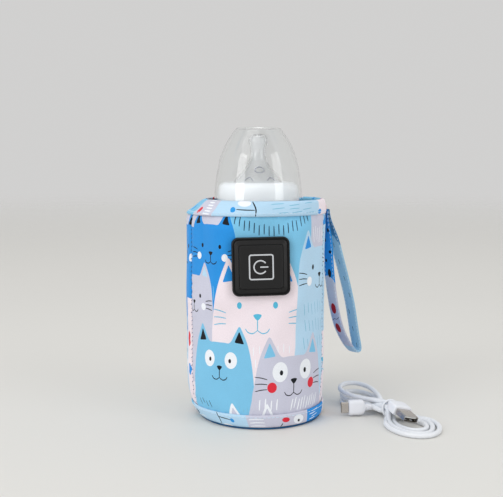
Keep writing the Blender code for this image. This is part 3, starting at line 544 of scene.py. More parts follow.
def outline_of(shape):
    kind, ink, points = shape[0], shape[1], shape[2]
    if kind == "s":
        ring = stroke_outline(points, shape[3])
    elif kind == "b":
        ring = smooth_line(points, 4, closed=True)
    else:
        ring = []
        n = len(points)
        for i, p in enumerate(points):  # straight sides with slightly rounded corners
            a, c, q = Vector(points[i - 1]), Vector(points[(i + 1) % n]), Vector(p)
            k1, k2 = min(0.35, 1.0 / max(0.1, (a - q).length)), min(0.35, 1.0 / max(0.1, (c - q).length))
            ring += [q + (a - q) * k1, q + (a - q) * k1 * 0.3 + (c - q) * k2 * 0.3, q + (c - q) * k2]
    fine, n = [], len(ring)
    for i, p in enumerate(ring):  # no side longer than the cloth's own mesh, so the cloth stays round along it
        q = ring[(i + 1) % n]
        cuts = max(1, math.ceil(math.hypot(q[0] - p[0], q[1] - p[1]) / 1.4))
        fine += [(p[0] + (q[0] - p[0]) * k / cuts, p[1] + (q[1] - p[1]) * k / cuts) for k in range(cuts)]
    return fine


def printed(name, low, high, ground, shapes, place, step, mat, body, hole=None, thickness=1.0, inside_out=False):
    """Cloth cut to the rectangle low-high, with each printed shape's outline cut into its mesh and its colour kept on the faces."""
    (u0, v0), (u1, v1) = low, high
    nu, nv = max(2, round((u1 - u0) / step)), max(2, round((v1 - v0) / step))
    coords, faces, inks = [], [], []

    def ring_in(points, ink):
        turn = sum(p[0] * q[1] - q[0] * p[1] for p, q in zip(points, points[1:] + points[:1]))
        points = points if turn > 0 else points[::-1]
        start = len(coords)
        coords.extend(Vector(p) for p in points)
        faces.append(list(range(start, len(coords))))
        inks.append(ink)

    edge = [(u0 + (u1 - u0) * i / nu, v0) for i in range(nu)] + [(u1, v0 + (v1 - v0) * i / nv) for i in range(nv)]
    edge += [(u1 - (u1 - u0) * i / nu, v1) for i in range(nu)] + [(u0, v1 - (v1 - v0) * i / nv) for i in range(nv)]
    ring_in(edge, ground)
    for shape in shapes:
        ring = outline_of(shape)
        us, vs = [p[0] for p in ring], [p[1] for p in ring]
        if max(us) < u0 or min(us) > u1 or max(vs) < v0 or min(vs) > v1:
            continue
        ring_in(ring, shape[1])
    if hole:
        ring_in(hole, None)
    for i in range(1, nu):
        for j in range(1, nv):
            shift = 0.5 if j % 2 else 0.0
            u = u0 + (u1 - u0) * (i + shift) / nu
            if u < u1 - 0.2 * step:
                coords.append(Vector((u, v0 + (v1 - v0) * j / nv)))
    verts, _, tris, _, _, owners = delaunay_2d_cdt(coords, [], faces, 0, 1e-4, True)
    keep, colours = [], []
    for tri, owner in zip(tris, owners):
        if 0 not in owner:
            continue
        ink = inks[max(owner)]
        if ink is None:
            continue
        keep.append(list(tri))
        colours.append(INKS[ink])
    used = sorted({i for t in keep for i in t})
    index = {old: new for new, old in enumerate(used)}
    uv = [(verts[i].x, verts[i].y) for i in used]
    points = [place(u, v) for u, v in uv]
    tris = [[index[i] for i in t] for t in keep]
    if inside_out:
        tris = [t[::-1] for t in tris]
    obj = new_mesh(name, points, tris, mat, None, uv=uv)
    layer = obj.data.color_attributes.new("print", "FLOAT_COLOR", "CORNER")
    data = np.ones((len(tris) * 3, 4), np.float32)
    data[:, :3] = np.repeat(np.array(colours, np.float32), 3, axis=0)
    layer.data.foreach_set("color", data.reshape(-1))
    if thickness:
        s = obj.modifiers.new("thickness", "SOLIDIFY")
        s.thickness, s.offset, s.use_even_offset = thickness * MM, -1.0, False
        apply_mods(obj)
    if body:
        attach(obj, body)
    return obj


# The print is a plain one of its own: sitting cats of one symmetric design, overlapping in rows, in pastel inks. A shape is
# (kind, ink, points, width): "b" a smooth blob, "p" a straight-sided one, "s" a stroke, in the flat cloth's millimetres.
def oval(ink, u, v, a, b):
    return ("b", ink, [(u + a * math.cos(k * math.pi / 5), v + b * math.sin(k * math.pi / 5)) for k in range(10)])


def block(ink, u0, v0, u1, v1):
    return ("p", ink, [(u0, v0), (u1, v0), (u1, v1), (u0, v1)])


def fur(ink, u0, v0, columns, rows, du, dv, length, width, lean=0.0):
    """Rows of short hatches."""
    out = []
    for j in range(rows):
        for i in range(columns):
            u, v = u0 + du * (i + 0.35 * (j % 2)), v0 - dv * j + 0.9 * math.sin(i * 2.1 + j)
            out.append(("s", ink, [(u, v), (u + lean * 0.5, v - length / 2), (u + lean, v - length + 0.7 * math.sin(i * 1.3))], width))
    return out


def cat(u, foot, top, half, ink, ear, line="K", eyes="dot", cheek=None, face=None, whiskers=True):
    """A sitting cat seen from the front, the same on its left and right."""
    h, head = half, top - 0.5 * half
    body = [(1.08, foot), (1.05, foot + 0.45 * (head - foot)), (0.98, head - 0.62 * h), (0.87, head - 0.05 * h), (0.72, head + 0.34 * h), (0.62, top), (0.50, head + 0.30 * h), (0.34, head + 0.03 * h), (0.14, head + 0.02 * h)]
    out = [("b", ink, [(u - h * k, v) for k, v in body] + [(u + h * k, v) for k, v in reversed(body)])]
    for s in (-1, 1):
        out.append(("p", ear, [(u + s * 0.62 * h, top - 0.13 * h), (u + s * 0.76 * h, head), (u + s * 0.47 * h, head + 0.04 * h)]))
    face = head - 0.45 * h if face is None else face
    for s in (-1, 1):
        if eyes == "dot":
            out.append(oval(line, u + s * 0.38 * h, face, 0.052 * h, 0.072 * h))
        else:
            out += [oval("W", u + s * 0.36 * h, face, 0.19 * h, 0.24 * h), oval(line, u + s * 0.33 * h, face - 0.02 * h, 0.042 * h, 0.062 * h)]
        if cheek:
            out.append(oval(cheek, u + s * 0.56 * h, face - 0.36 * h, 0.115 * h, 0.125 * h))
        if whiskers:
            for k in range(3):
                a, b = (u + s * 0.68 * h, face - (0.16 + 0.12 * k) * h), (u + s * 0.96 * h, face - (0.10 + 0.17 * k) * h)
                out.append(("s", line, [a, ((a[0] + b[0]) / 2, (a[1] + b[1]) / 2 + 0.012 * h), b], 0.72))
        out.append(("s", line, [(u, face - 0.52 * h), (u + s * 0.10 * h, face - 0.585 * h), (u + s * 0.20 * h, face - 0.56 * h), (u + s * 0.25 * h, face - 0.49 * h)], 0.75))
    out.append(("b", line, [(u - 0.085 * h, face - 0.20 * h), (u, face - 0.175 * h), (u + 0.085 * h, face - 0.20 * h), (u + 0.05 * h, face - 0.27 * h), (u, face - 0.31 * h), (u - 0.05 * h, face - 0.27 * h)]))
    out.append(("s", line, [(u, face - 0.28 * h), (u, face - 0.40 * h), (u, face - 0.53 * h)], 0.7))
    return out


def front_print():
    out = [block("S", -26, 84, 60, 162), block("G", -72, 146, -26, 163), block("R", -72, 88, -54, 146), block("G", -72, 30, -58, 88)]
    for i in range(18):
        x = -19 + 3.55 * i
        y = 141.5 + 0.0115 * (x - 8) ** 2 + 0.8 * math.sin(i * 2.3)
        out.append(("s", "N", [(x + (4 - x) * 0.01, y + 7.0), (x, y + 3.4), (x - (4 - x) * 0.014, y)], 0.78))
    out += cat(-39, 70, 159.5, 21.5, "R", "K", cheek="W", face=133.5)
    out += fur("S", -55, 104, 8, 2, 4.6, 13, 9, 0.5, 0.6)
    out += [block("G", 42, 126, 70, 163)] + fur("W", 45, 146, 6, 1, 3.0, 10, 11, 0.62, 1.4)
    out += cat(-58, 40, 121, 21, "G", "L", cheek="W", face=96)
    out += cat(-2.5, 2, 125.5, 34.5, "P", "R", line="T", face=91.5)
    out += fur("W", -28, 62, 12, 2, 4.5, 9, 6, 0.6)
    out += cat(55, 2, 144.5, 27, "L", "R", cheek="W", face=117)
    out += fur("T2", 34, 91, 7, 3, 4.4, 13, 8.6, 0.62, 1.2)
    out += cat(-31.5, -4, 76, 25.5, "S", "K", eyes="round", face=51, whiskers=False)
    out += fur("N", -53, 19, 4, 1, 3.6, 5, 4.2, 0.62, 1.6) + fur("T2", -20, 17, 5, 1, 3.0, 5, 3.6, 0.45)
    out += cat(25.5, -4, 68.5, 31.0, "G", "S", eyes="round", cheek="D", face=42.5)
    out += fur("W", -1, 22.5, 4, 1, 4.4, 5, 7.4, 0.95, -1.0) + fur("W", 25, 21.5, 10, 1, 3.0, 5, 8.0, 0.95, -2.4)
    out += [("p", "P", [(58, 2), (70, 2), (70, 56), (62, 40)]), oval("R", 63, 37, 1.6, 4.4)]
    out += cat(-9, -14, 19.5, 21, "W", "G", face=-4, whiskers=False)
    return out


def back_print():
    out = [block("S", 60, 120, 140, 162), block("R", 140, 118, 205, 162), block("G", 205, 120, 270, 162)]
    out += cat(82, 60, 158, 23, "L", "R", cheek="W", face=128) + cat(126, 60, 156, 24, "G", "S", eyes="round", cheek="D", face=128)
    out += cat(168, 60, 158, 22, "P", "R", line="T", face=130) + cat(208, 60, 155, 24, "S", "K", eyes="round", face=126) + cat(252, 60, 158, 23, "R", "K", cheek="W", face=131)
    out += fur("T2", 66, 98, 8, 2, 4.4, 12, 8, 0.6, 1.0) + fur("W", 110, 100, 8, 1, 4.2, 10, 9, 0.9, -1.6) + fur("N", 190, 100, 9, 1, 4.0, 10, 6, 0.7, 1.0)
    out += cat(66, 2, 78, 25, "P", "R", line="T", face=50) + cat(106, 2, 88, 27, "R", "K", cheek="W", face=58) + cat(150, 2, 80, 27, "S", "K", eyes="round", face=52, whiskers=False)
    out += cat(196, 2, 84, 28, "G", "S", eyes="round", cheek="D", face=55) + cat(240, 2, 78, 25, "L", "R", cheek="W", face=50)
    out += [block("P", 256.5, 8, 270, 92), oval("D", 261, 61, 2.6, 6.0), oval("R", 263, 38, 2.2, 4.6)]
    out += fur("W", 178, 24, 9, 1, 4.0, 5, 8, 0.9, -1.6) + fur("T2", 222, 26, 8, 1, 4.2, 5, 8, 0.6, 1.0)
    out += cat(84, -14, 22, 20, "W", "G", whiskers=False, face=-4) + cat(172, -14, 21, 20, "W", "G", whiskers=False, face=-4) + cat(222, -14, 19, 19, "S", "K", whiskers=False, face=-4)
    return out


def rim_print():
    out = [block("G", -63, 153, -41, 178), block("P", 50, 153, 78, 178), block("S", 78, 153, 118, 178), block("G", 118, 153, 139, 178), block("P", -170, 153, -132, 178), block("G", -106, 153, -84, 178), block("S", -84, 153, -63, 178)]
    out += [("s", "W", [(-49, 156.6 + 1.9 * i), (-45.7, 156.4 + 1.92 * i), (-42.5, 156.2 + 1.95 * i)], 0.9) for i in range(9)]
    out += [oval("D", -56, 158.6, 2.3, 2.1), oval("W", -14, 164.6, 5.4, 2.6), oval("B", -23, 159.8, 2.1, 1.9), ("s", "K", [(-20, 160.0), (-13, 159.7), (-6.5, 159.6)], 0.75), ("s", "K", [(-7.6, 165.6), (-6.0, 162), (-5.4, 158.6), (-5.8, 155.4)], 0.8)]
    for i, (u, v) in enumerate(((5, 163.6), (18, 162.6), (32, 164.0), (6, 160.4), (18.6, 160.2), (31, 159.6), (10, 157.2), (22, 157.6), (35, 157.0))):
        out.append(("s", "T2", [(u, v), (u + 4, v + 0.4), (u + 8.4, v + 0.5 + 0.3 * (i % 2))], 0.62))
    out += [oval("R", 52, 157.4, 2.6, 1.9)]
    for k, (ink, u) in enumerate((("D", 71), ("B", 92), ("D", 128), ("R", 150), ("B", -150), ("D", -120), ("R", -97), ("B", -73))):
        out += [oval(ink, u, 159 + (k % 3), 2.4, 2.0), oval(ink, u + 9, 168.5, 2.2, 1.8)]
        out += [("s", "T2" if k % 2 else "K", [(u + 3, 157 + 2.2 * j), (u + 7, 157.4 + 2.2 * j), (u + 11, 157.2 + 2.2 * j)], 0.6) for j in range(2)]
    return out


def base_print():
    out = [block("G", -13, -1, 38, 13), block("R", 38, -1, 66, 13), block("P", 66, -1, 96, 13), block("S", 96, -1, 128, 13), block("G", 128, -1, 150, 13), block("P", -170, -1, -130, 13), block("G", -104, -1, -82, 13), block("S", -82, -1, -70, 13)]
    out += [("s", "K", [(-37, 11), (-36.4, 7), (-36.8, 2.5)], 0.8), ("s", "K", [(-36.4, 8), (-31, 7.6), (-26, 6.8)], 0.75), oval("B", -25, 6.6, 1.6, 1.6), oval("W", -31, 1.6, 4.2, 1.6)]
    out += [("s", "W", [(-11, 3.0 + 2.6 * j), (-5.6, 3.4 + 2.6 * j), (0, 3.2 + 2.6 * j)], 0.8) for j in range(3)]
    out += [oval("D", 17.5, 7.0, 3.2, 1.9), oval("W", 29, 6.0, 4.8, 3.6), oval("K", 29, 5.0, 1.05, 1.05), ("s", "K", [(14.5, 4.4), (13.4, 3.0), (12.6, 1.6)], 0.75)]
    out += [("s", "W", [(41 + 3 * (j % 2), 3.4 + 2.0 * j), (45 + 3 * (j % 2), 3.7 + 2.0 * j), (49 + 3 * (j % 2), 4.0 + 2.0 * j)], 0.6) for j in range(4)]
    for k, (ink, u) in enumerate((("D", 76), ("B", 104), ("W", 134), ("R", 158), ("D", -146), ("W", -114), ("B", -92), ("K", -66))):
        out += [oval(ink, u, 6, 2.2, 1.9), ("s", "K" if ink != "K" else "W", [(u + 4, 4), (u + 8, 4.6), (u + 12, 4.2)], 0.65)]
    return out


def leaning(shapes):
    """The rim leans to the right, so the marks on its left lean back to stand upright."""
    out = []
    for kind, ink, points, *width in shapes:
        out.append((kind, ink, [(u - 0.85 * ease((28 - u) / 44) * ease((u + 78) / 12) * (min(v, 168) - 157.5), v) for u, v in points], *width))
    return out


PRINT_FRONT, PRINT_BACK, PRINT_RIM, PRINT_BASE = front_print(), back_print(), leaning(rim_print()), base_print()



HALF = R_BODY * math.radians(SEAM_B - 270)  # the seams, from the middle of the front
FAR = R_BODY * math.pi
hole_u = [R_BODY * math.asin((CTRL_X + d + 0.75) / 52.6) for d in (-15.3, 15.3)]
hole = outline_of(("h", None, [(hole_u[0], CTRL_Z - 15.3), (hole_u[1], CTRL_Z - 15.3), (hole_u[1], CTRL_Z + 15.3), (hole_u[0], CTRL_Z + 15.3)]))
front_panel = printed("printed_front_panel", (-HALF + 0.15, 9.0), (HALF - 0.15, 158.0), "P", PRINT_FRONT, cloth_point, 1.6, PRINTED, "bag", hole)
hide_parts("outer_front_panel")

def back_point(u, z):
    return cloth_point(u, z)


back_panel = printed("printed_back_panel", (HALF + 0.15, 9.0), (2 * FAR - HALF - 0.15, 158.0), "L", PRINT_BACK, back_point, 1.9, PRINTED, "bag",
                     outline_of(("h", None, [(FAR + 0.5 - 6.2, 22.3), (FAR + 0.5 + 6.2, 22.3), (FAR + 0.5 + 6.2, 29.7), (FAR + 0.5 - 6.2, 29.7)])))
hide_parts("outer_back_panel")


# binding over the rim: down the outside, over the top and down the inside
def rim_point(u, w):
    deg = deg_of(u)
    t = math.radians(deg)
    wob = 0.35 * noise.noise(Vector((math.cos(t) * 5, math.sin(t) * 5, w / 9.0))) + 0.16 * noise.noise(Vector((math.cos(t) * 16, math.sin(t) * 16, w / 4.0)))
    if w <= 163.6:
        r, z = 53.75 + 0.25 * math.sin(math.pi * min(1.0, max(0.0, (w - 155) / 8.6))), w
        if w < 156.2:
            r -= 0.35 * (156.2 - w) / 1.2
    elif w <= 170.6:
        a = (w - 163.6) / 7.0 * math.pi
        r, z = 51.35 + 2.4 * math.cos(a), 163.6 + 2.2 * math.sin(a)
    else:
        r, z = 48.95, 163.6 - (w - 170.6)
    return bag_point(r + wob * 0.7, deg, z)


rim = printed("printed_rim_binding", (-FAR, 155.0), (FAR, 177.0), "L", PRINT_RIM, rim_point, 1.35, PRINTED_BAND, "bag", None, 0.8)
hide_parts("rim_binding")


def base_point(u, w):
    deg = deg_of(u)
    t = math.radians(deg)
    wob = 0.3 * noise.noise(Vector((math.cos(t) * 5, math.sin(t) * 5, w / 7.0 + 5)))
    if w >= 3.2:
        r, z = 53.8 + 0.2 * math.sin(math.pi * min(1.0, (w - 3.2) / 8.3)), w
        if w > 10.4:
            r -= 0.3 * (w - 10.4) / 1.1
    else:
        a = (3.2 - w) / 3.4 * math.pi / 2
        r, z = 53.8 - 2.2 * (1 - math.cos(a)), 3.2 - 1.8 * math.sin(a)
    return bag_point(r + wob * 0.6, deg, z)


base_band = printed("printed_base_binding", (-FAR, -0.2), (FAR, 11.5), "L", PRINT_BASE, base_point, 1.35, PRINTED_BAND, "bag", None, 0.8)
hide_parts("base_binding")


# ------------------------------------------------------------ stitches, seams
def stitches(name, paths, radius, mat, body, sides=6):
    """Each path is one short stitch: its ends dip into the cloth."""
    verts, faces = [], []
    for pts in paths:
        pts = [Vector(p) for p in pts]
        base = len(verts)
        n = len(pts)
        side = None
        for i, p in enumerate(pts):
            d = (pts[min(n - 1, i + 1)] - pts[max(0, i - 1)]).normalized()
            side = d.orthogonal().normalized() if side is None else (side - d * side.dot(d)).normalized()
            other = d.cross(side)
            r = radius * (0.55 if i in (0, n - 1) else 1.0)
            for k in range(sides):
                t = 2 * math.pi * k / sides
                verts.append(p + side * r * math.cos(t) + other * r * math.sin(t))
        for i in range(n - 1):
            for k in range(sides):
                j = (k + 1) % sides
                faces.append([base + i * sides + k, base + i * sides + j, base + (i + 1) * sides + j, base + (i + 1) * sides + k])
        faces.append([base + k for k in range(sides)][::-1])
        faces.append([base + (n - 1) * sides + k for k in range(sides)])
    return new_mesh(name, verts, faces, mat, body)


def row_of(place, start, end, pitch, share, lift, v):
    out, u = [], start
    while u + pitch * share < end:
        ends = []
        for f, h in ((0.0, -0.12), (0.25, lift), (0.75, lift), (1.0, -0.12)):
            p = place(u + pitch * share * f, v)
            q = place(u + pitch * share * f, v + 0.4)
            n = Vector((p.x, p.y, 0)).normalized()
            ends.append(p + n * h)
        out.append(ends)
        u += pitch
    return out


rim_stitch = stitches("rim_topstitch", row_of(rim_point, -FAR, FAR, 3.3, 0.72, 0.10, 157.1), 0.24, THREAD, "bag")
base_stitch = stitches("base_topstitch", row_of(base_point, -FAR, FAR, 3.3, 0.72, 0.10, 9.6), 0.24, THREAD, "bag")
ladder = []
for seam in (-HALF, HALF):
    z = 13.0
    while z < 153:
        a, b, c = cloth_point(seam - 0.9, z), cloth_point(seam, z + 0.5), cloth_point(seam + 0.9, z + 1.0)
        n = Vector((a.x, a.y, 0)).normalized()
        ladder.append([a + n * -0.2, a + n * 0.12, b + n * 0.5, c + n * 0.12, c + n * -0.2])
        z += 3.1
seam_stitch = stitches("side_seam_stitches", ladder, 0.2, THREAD_DARK, "bag", 5)

# ------------------------------------------------------------- lining and base
def shell(name, path, mat, body, ripple, segs=150, thickness=0.0):
    verts, faces = [], []
    rows = len(path)
    for r, z in path:
        for k in range(segs):
            deg = 360.0 * k / segs
            t = math.radians(deg)
            w = ripple * min(1.0, r / 20.0) * (noise.noise(Vector((math.cos(t) * 5, math.sin(t) * 5, z / 22.0))) + 0.5 * noise.noise(Vector((math.cos(t) * 14, math.sin(t) * 14, z / 9.0))))
            p = bag_point(max(0.01, r + w), deg, z + (w * 0.5 if r < 42 else 0.0))
            verts.append(p)
    for i in range(rows - 1):
        for k in range(segs):
            j = (k + 1) % segs
            faces.append([i * segs + k, i * segs + j, (i + 1) * segs + j, (i + 1) * segs + k])
    return new_mesh(name, verts, faces, mat, body, angle=50)


path = [(50.0, 164.0), (50.0, 160.0), (50.0, 157.0), (48.6, 154.6), (46.0, 151.4), (43.8, 148.8), (43.2, 147.0)]
path += [(43.15, z) for z in range(143, 13, -3)] + [(43.0, 11.5), (42.2, 10.1), (40.5, 9.7)] + [(r, 9.65) for r in range(38, 0, -3)] + [(0.3, 9.65)]
lining = shell("foil_lining", path, FOIL, None, 0.22)
skin = lining.modifiers.new("thickness", "SOLIDIFY")
skin.thickness, skin.offset = 0.7 * MM, 0.0
apply_mods(lining)
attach(lining, "bag")
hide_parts("inner_lining")
path = [(0.3, 1.2), (20, 1.2), (40, 1.2), (51.2, 1.25), (52.3, 1.05), (52.75, 0.6), (52.3, 0.12), (51.2, 0.0), (40, 0.0), (20, 0.0), (0.3, 0.0), (0.3, 1.2)]
base_cloth = shell("base_cloth", path, PIPING, "bag", 0.0)
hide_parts("base_fabric")

# ------------------------------------------------------------------- the strap
STRAP_TOP = Vector((55.0, 4.0, 157.0))
STRAP_LINE = [
    (-1.0, 157.0), (0.0, 141.0), (2.4, 116.0), (5.2, 99.0), (10.4, 79.0), (17.0, 63.0), (26.5, 49.8), (33.0, 43.4),
    (37.8, 39.9), (41.0, 39.2), (42.6, 41.2), (42.0, 45.5), (38.6, 56.0), (31.8, 80.5), (23.4, 102.0), (15.0, 121.0),
    (7.2, 139.0), (2.6, 150.5), (1.0, 157.0),
]
tape = smooth_line(STRAP_LINE, 8)
lengths = [0.0]
for a, b in zip(tape, tape[1:]):
    lengths.append(lengths[-1] + (b - a).length)
TAPE = lengths[-1]
out_dir = Vector((math.cos(math.radians(45)), math.sin(math.radians(45)), 0))


def tape_point(w, s, face):
    """w across, s along; face +1 is the outward side of the leg next to the bag."""
    s = min(TAPE, max(0.0, s))
    i = max(0, min(len(tape) - 2, int(np.searchsorted(lengths, s)) - 1))
    t = (s - lengths[i]) / max(1e-6, lengths[i + 1] - lengths[i])
    p = tape[i].lerp(tape[i + 1], t)
    a, b = tape[max(0, i - 1)], tape[min(len(tape) - 1, i + 2)]
    d = (b - a).normalized()
    side = Vector((-d.y, d.x, 0))
    half = 4.7
    edge = min(1.0, abs(w) / half)
    crown = 0.78 * math.sqrt(max(0.0, 1 - edge ** 6)) + (0.10 * noise.noise(Vector((w / 3.0, s / 9.0, face))) if edge < 0.98 else 0.0)
    groove = 0.22 * math.exp(-((abs(w) - 3.5) / 0.45) ** 2)
    q = p + side * face * max(0.0, crown - groove)
    z = q.y
    turn = math.radians(4 + 41 * ease((154 - z) / 26))
    across = Vector((-math.sin(turn), math.cos(turn), 0))
    return Vector((STRAP_TOP.x, STRAP_TOP.y, z)) + out_dir * q.x + across * w


front_face = [("p", "R", [(-6, -2), (6, -2), (6, 58), (-6, 63)]), ("b", "G", [(-6, 62), (6, 57), (6, 118), (-6, 122)]), ("p", "L", [(-6, 120), (6, 116), (6, 275), (-6, 275)])]
for w, s, a, b in ((-1.8, 16, 1.4, 1.5), (2.4, 24, 1.2, 1.6), (-2.2, 33, 1.1, 1.3), (1.8, 40, 0.9, 1.2), (-0.5, 50, 1.6, 3.4)):
    front_face.append(("b", "K", [(w + a * math.cos(k * 0.785), s + b * math.sin(k * 0.785)) for k in range(8)]))
for w, s in ((0.2, 79.5), (0.6, 97.5)):
    front_face.append(("b", "D2", [(w + 2.2 * math.cos(k * 0.785), s + 4.6 * math.sin(k * 0.785)) for k in range(8)]))
front_face.append(("s", "N", [(-3, 87), (-0.5, 89), (1.5, 88.6), (3.6, 90.5)], 0.5))
for k in range(7):
    front_face.append(("s", "T2", [(-2.6 + 1.3 * (k % 4), 126 + 17 * k), (-2.4 + 1.3 * (k % 4), 131 + 17 * k), (-2.8 + 1.3 * (k % 4), 136 + 17 * k)], 0.5))
# The upper end of the strap's back face, by the rim, is printed a darker teal. This is painted shade for the inside of
# the loop, which lies in shade. The rest of that face keeps its lighter ground ink.
back_face = [("p", "S2", [(-6, -2), (6, -2), (6, 275), (-6, 275)]), ("b", "L", [(-6, 60), (0, 52), (6, 66), (6, 100), (-6, 92)]), ("b", "R2", [(-6, 228), (0, 236), (6, 231), (6, 276), (-6, 276)])]
for k in range(9):
    back_face.append(("s", "N", [(-2 + 1.1 * (k % 4), 120 + 15 * k), (-1.6 + 1.1 * (k % 4), 124 + 15 * k)], 0.45))
# The third ink here is the darker teal painted as shade at the top of the strap's back face.
INKS["D2"], INKS["S2"], INKS["R2"] = lin(178, 22, 40), lin(158, 203, 232), lin(66, 138, 190)
sides = []
for face, shapes, ground in ((-1, front_face, "R"), (1, back_face, "S2")):
    sides.append(printed("tape_side", (-4.7, 0.0), (4.7, TAPE), ground, shapes, lambda w, s, f=face: tape_point(w, s, f), 0.95, PRINTED_TAPE, None, None, 0.0, face > 0))
for other in sides[1:]:
    bm = bmesh.new()
    bm.from_mesh(sides[0].data)
    bm.from_mesh(other.data)
    bmesh.ops.remove_doubles(bm, verts=bm.verts, dist=0.00012)
    bmesh.ops.recalc_face_normals(bm, faces=bm.faces)
    bm.to_mesh(sides[0].data)
    bm.free()
    bpy.data.objects.remove(other)
strap = sides[0]
strap.name = "printed_wrist_strap"
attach(strap, "strap")
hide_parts("wrist_strap")
rows = []
for face in (-1, 1):
    for w in (-3.5, 3.5):
        s = 1.0
        while s + 2.2 < TAPE - 1:
            pts = []
            for f, h in ((0.0, 0.0), (0.3, 0.2), (0.7, 0.2), (1.0, 0.0)):
                p = tape_point(w, s + 2.2 * f, face)
                q = tape_point(0, s + 2.2 * f, 0.0001)
                o = tape_point(w, s + 2.2 * f, 0.0001)
                pts.append(p + (p - o).normalized() * (h - 0.05))
            rows.append(pts)
            s += 3.2
strap_stitch = stitches("strap_edge_stitches", rows, 0.2, THREAD, "strap", 5)

# -------------------------------------------------------------- the controller
CTRL = Matrix.Translation(Vector((CTRL_X, FRONT_Y, CTRL_Z)) * MM) @ Matrix.Rotation(math.radians(CTRL_TILT), 4, "Y")


def ctrl(x, y, z):
    return (CTRL @ (Vector((x, y, z)) * MM)) / MM


def square_ring(w, h, r, y, n=10):
    return [ctrl(x, y, z) for x, z in rounded(w, h, r, n)]


def band_loft(name, rings, mat, body, angle=30):
    """Rings that close on themselves, for a frame or a cover with an opening."""
    verts, faces, n, count = [], [], len(rings[0]), len(rings)
    for ring in rings:
        verts += ring
    for i in range(count):
        for k in range(n):
            j, i2 = (k + 1) % n, (i + 1) % count
            faces.append([i * n + k, i * n + j, i2 * n + j, i2 * n + k])
    obj = new_mesh(name, verts, faces, mat, None, angle=angle)
    bm = bmesh.new()
    bm.from_mesh(obj.data)
    bmesh.ops.recalc_face_normals(bm, faces=bm.faces)
    bm.to_mesh(obj.data)
    bm.free()
    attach(obj, body)
    return obj


cover = band_loft("controller_bezel", [square_ring(*p) for p in (
    (41.1, 41.6, 4.8, -0.3), (41.5, 42.0, 5.0, -0.7), (41.5, 42.0, 5.0, -2.9), (41.35, 41.85, 4.9, -3.45), (40.9, 41.4, 4.7, -3.95), (40.2, 40.7, 4.4, -4.2), (39.5, 40.0, 4.1, -4.15),
    (38.95, 39.45, 3.9, -3.85), (38.6, 39.1, 3.8, -3.45), (38.2, 38.7, 3.7, -3.4), (37.85, 38.35, 3.6, -3.6), (37.4, 37.9, 3.5, -3.85), (36.4, 36.9, 3.3, -4.12), (34.4, 34.7, 2.9, -4.55), (32.8, 33.0, 2.5, -4.95),
    (31.9, 31.95, 2.3, -5.16), (31.65, 31.65, 2.1, -5.16), (31.5, 31.5, 2.0, -4.9), (31.5, 31.5, 2.0, -0.3))], BLACK_RIM, "bag")
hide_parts("controller_cover")
pad = loft("button_membrane", [square_ring(*p) for p in (
    (30.4, 30.4, 1.5, -4.3), (31.1, 31.1, 1.8, -4.45), (31.2, 31.2, 1.9, -5.0), (31.05, 31.05, 1.9, -5.2), (30.5, 30.5, 1.8, -5.32), (29.4, 29.4, 1.7, -5.46), (28.2, 28.2, 1.6, -5.56), (27.0, 27.0, 1.5, -5.6), (24.0, 24.0, 1.4, -5.61))], BLACK, "button", 30)
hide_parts("button_pad")
icon_frame = band_loft("icon_square", [square_ring(*p) for p in ((17.7, 18.3, 1.9, -5.62), (17.7, 18.3, 1.9, -5.84), (17.6, 18.2, 1.85, -5.9), (15.9, 16.5, 1.1, -5.9), (15.75, 16.35, 1.0, -5.84), (15.75, 16.35, 1.0, -5.62))], ICON, "button")
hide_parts("icon_frame")
arc_pts = [ctrl(-0.6 + 4.6 * math.cos(math.radians(a)), -5.7, 4.6 * math.sin(math.radians(a))) for a in np.linspace(42, 318, 60)]


def icon_line(name, points, width, mat):
    """A flat raised line with round ends."""
    pts = [Vector(p) for p in points]
    normal = (ctrl(0, -1, 0) - ctrl(0, 0, 0)).normalized()
    rings, n = [], len(pts)
    for i, p in enumerate(pts):
        d = (pts[min(n - 1, i + 1)] - pts[max(0, i - 1)]).normalized()
        side = d.cross(normal).normalized()
        rings.append([p + side * width / 2 * math.cos(t) * c + normal * 0.13 * math.copysign(abs(math.sin(t)) ** 0.5, math.sin(t)) for t, c in [(2 * math.pi * k / 16, 1.0) for k in range(16)]])
    for at, sign in ((0, -1), (n - 1, 1)):
        d = (pts[1] - pts[0]).normalized() if at == 0 else (pts[-1] - pts[-2]).normalized()
        caps = []
        for f in (0.5, 0.87, 0.98):
            c = math.sqrt(1 - f * f)
            ring = [p0 + d * sign * width / 2 * f for p0 in (pts[at] + (q - pts[at]) * c for q in rings[at if at == 0 else len(rings) - 1])]
            caps.append(ring)
        if at == 0:
            rings = caps[::-1] + rings
            n += 3
        else:
            rings += caps
    return loft(name, rings, mat, "button", 60)


icon_arc = icon_line("icon_power_arc", arc_pts, 0.98, ICON)
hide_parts("icon_arc")
icon_bar = icon_line("icon_power_bar", [ctrl(x, -5.7, 0) for x in np.linspace(-0.4, 4.6, 8)], 0.98, ICON)
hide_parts("icon_bar")

# ------------------------------------------------------------------ the bottle
B = (BOTTLE_X, 0, 0)
bottle = lathe("bottle_shell", [(26.9, 172.2), (28.0, 171.8), (28.0, 166.0), (28.0, 153.0), (29.4, 150.3), (31.7, 146.0), (32.9, 140.0), (33.0, 120.0), (33.0, 60.0), (33.0, 18.0), (32.2, 12.2), (29.2, 10.0), (27.0, 9.9), (16.0, 10.6), (0.0, 11.0),
    (0.0, 12.4), (16.0, 12.1), (27.2, 11.6), (30.4, 13.4), (31.3, 18.4), (31.3, 60.0), (31.3, 120.0), (31.2, 139.4), (30.0, 145.0), (27.4, 149.8), (26.3, 153.0), (26.2, 166.0), (26.2, 171.8), (26.9, 172.2)], CLEAR, "bottle", B, 112, 3, sharp=(14, 15))
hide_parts("bottle_body")
ticks = []
for k in range(9):
    z = 28.0 + 12.0 * k
    half = 13 if k % 2 == 0 else 8
    ticks.append([(BOTTLE_X + 33.04 * math.cos(math.radians(270 + a)), 33.04 * math.sin(math.radians(270 + a)), z) for a in np.linspace(-half, half, 9)])
marks = stitches("bottle_measure_lines", ticks, 0.28, ICON, "bottle", 6)
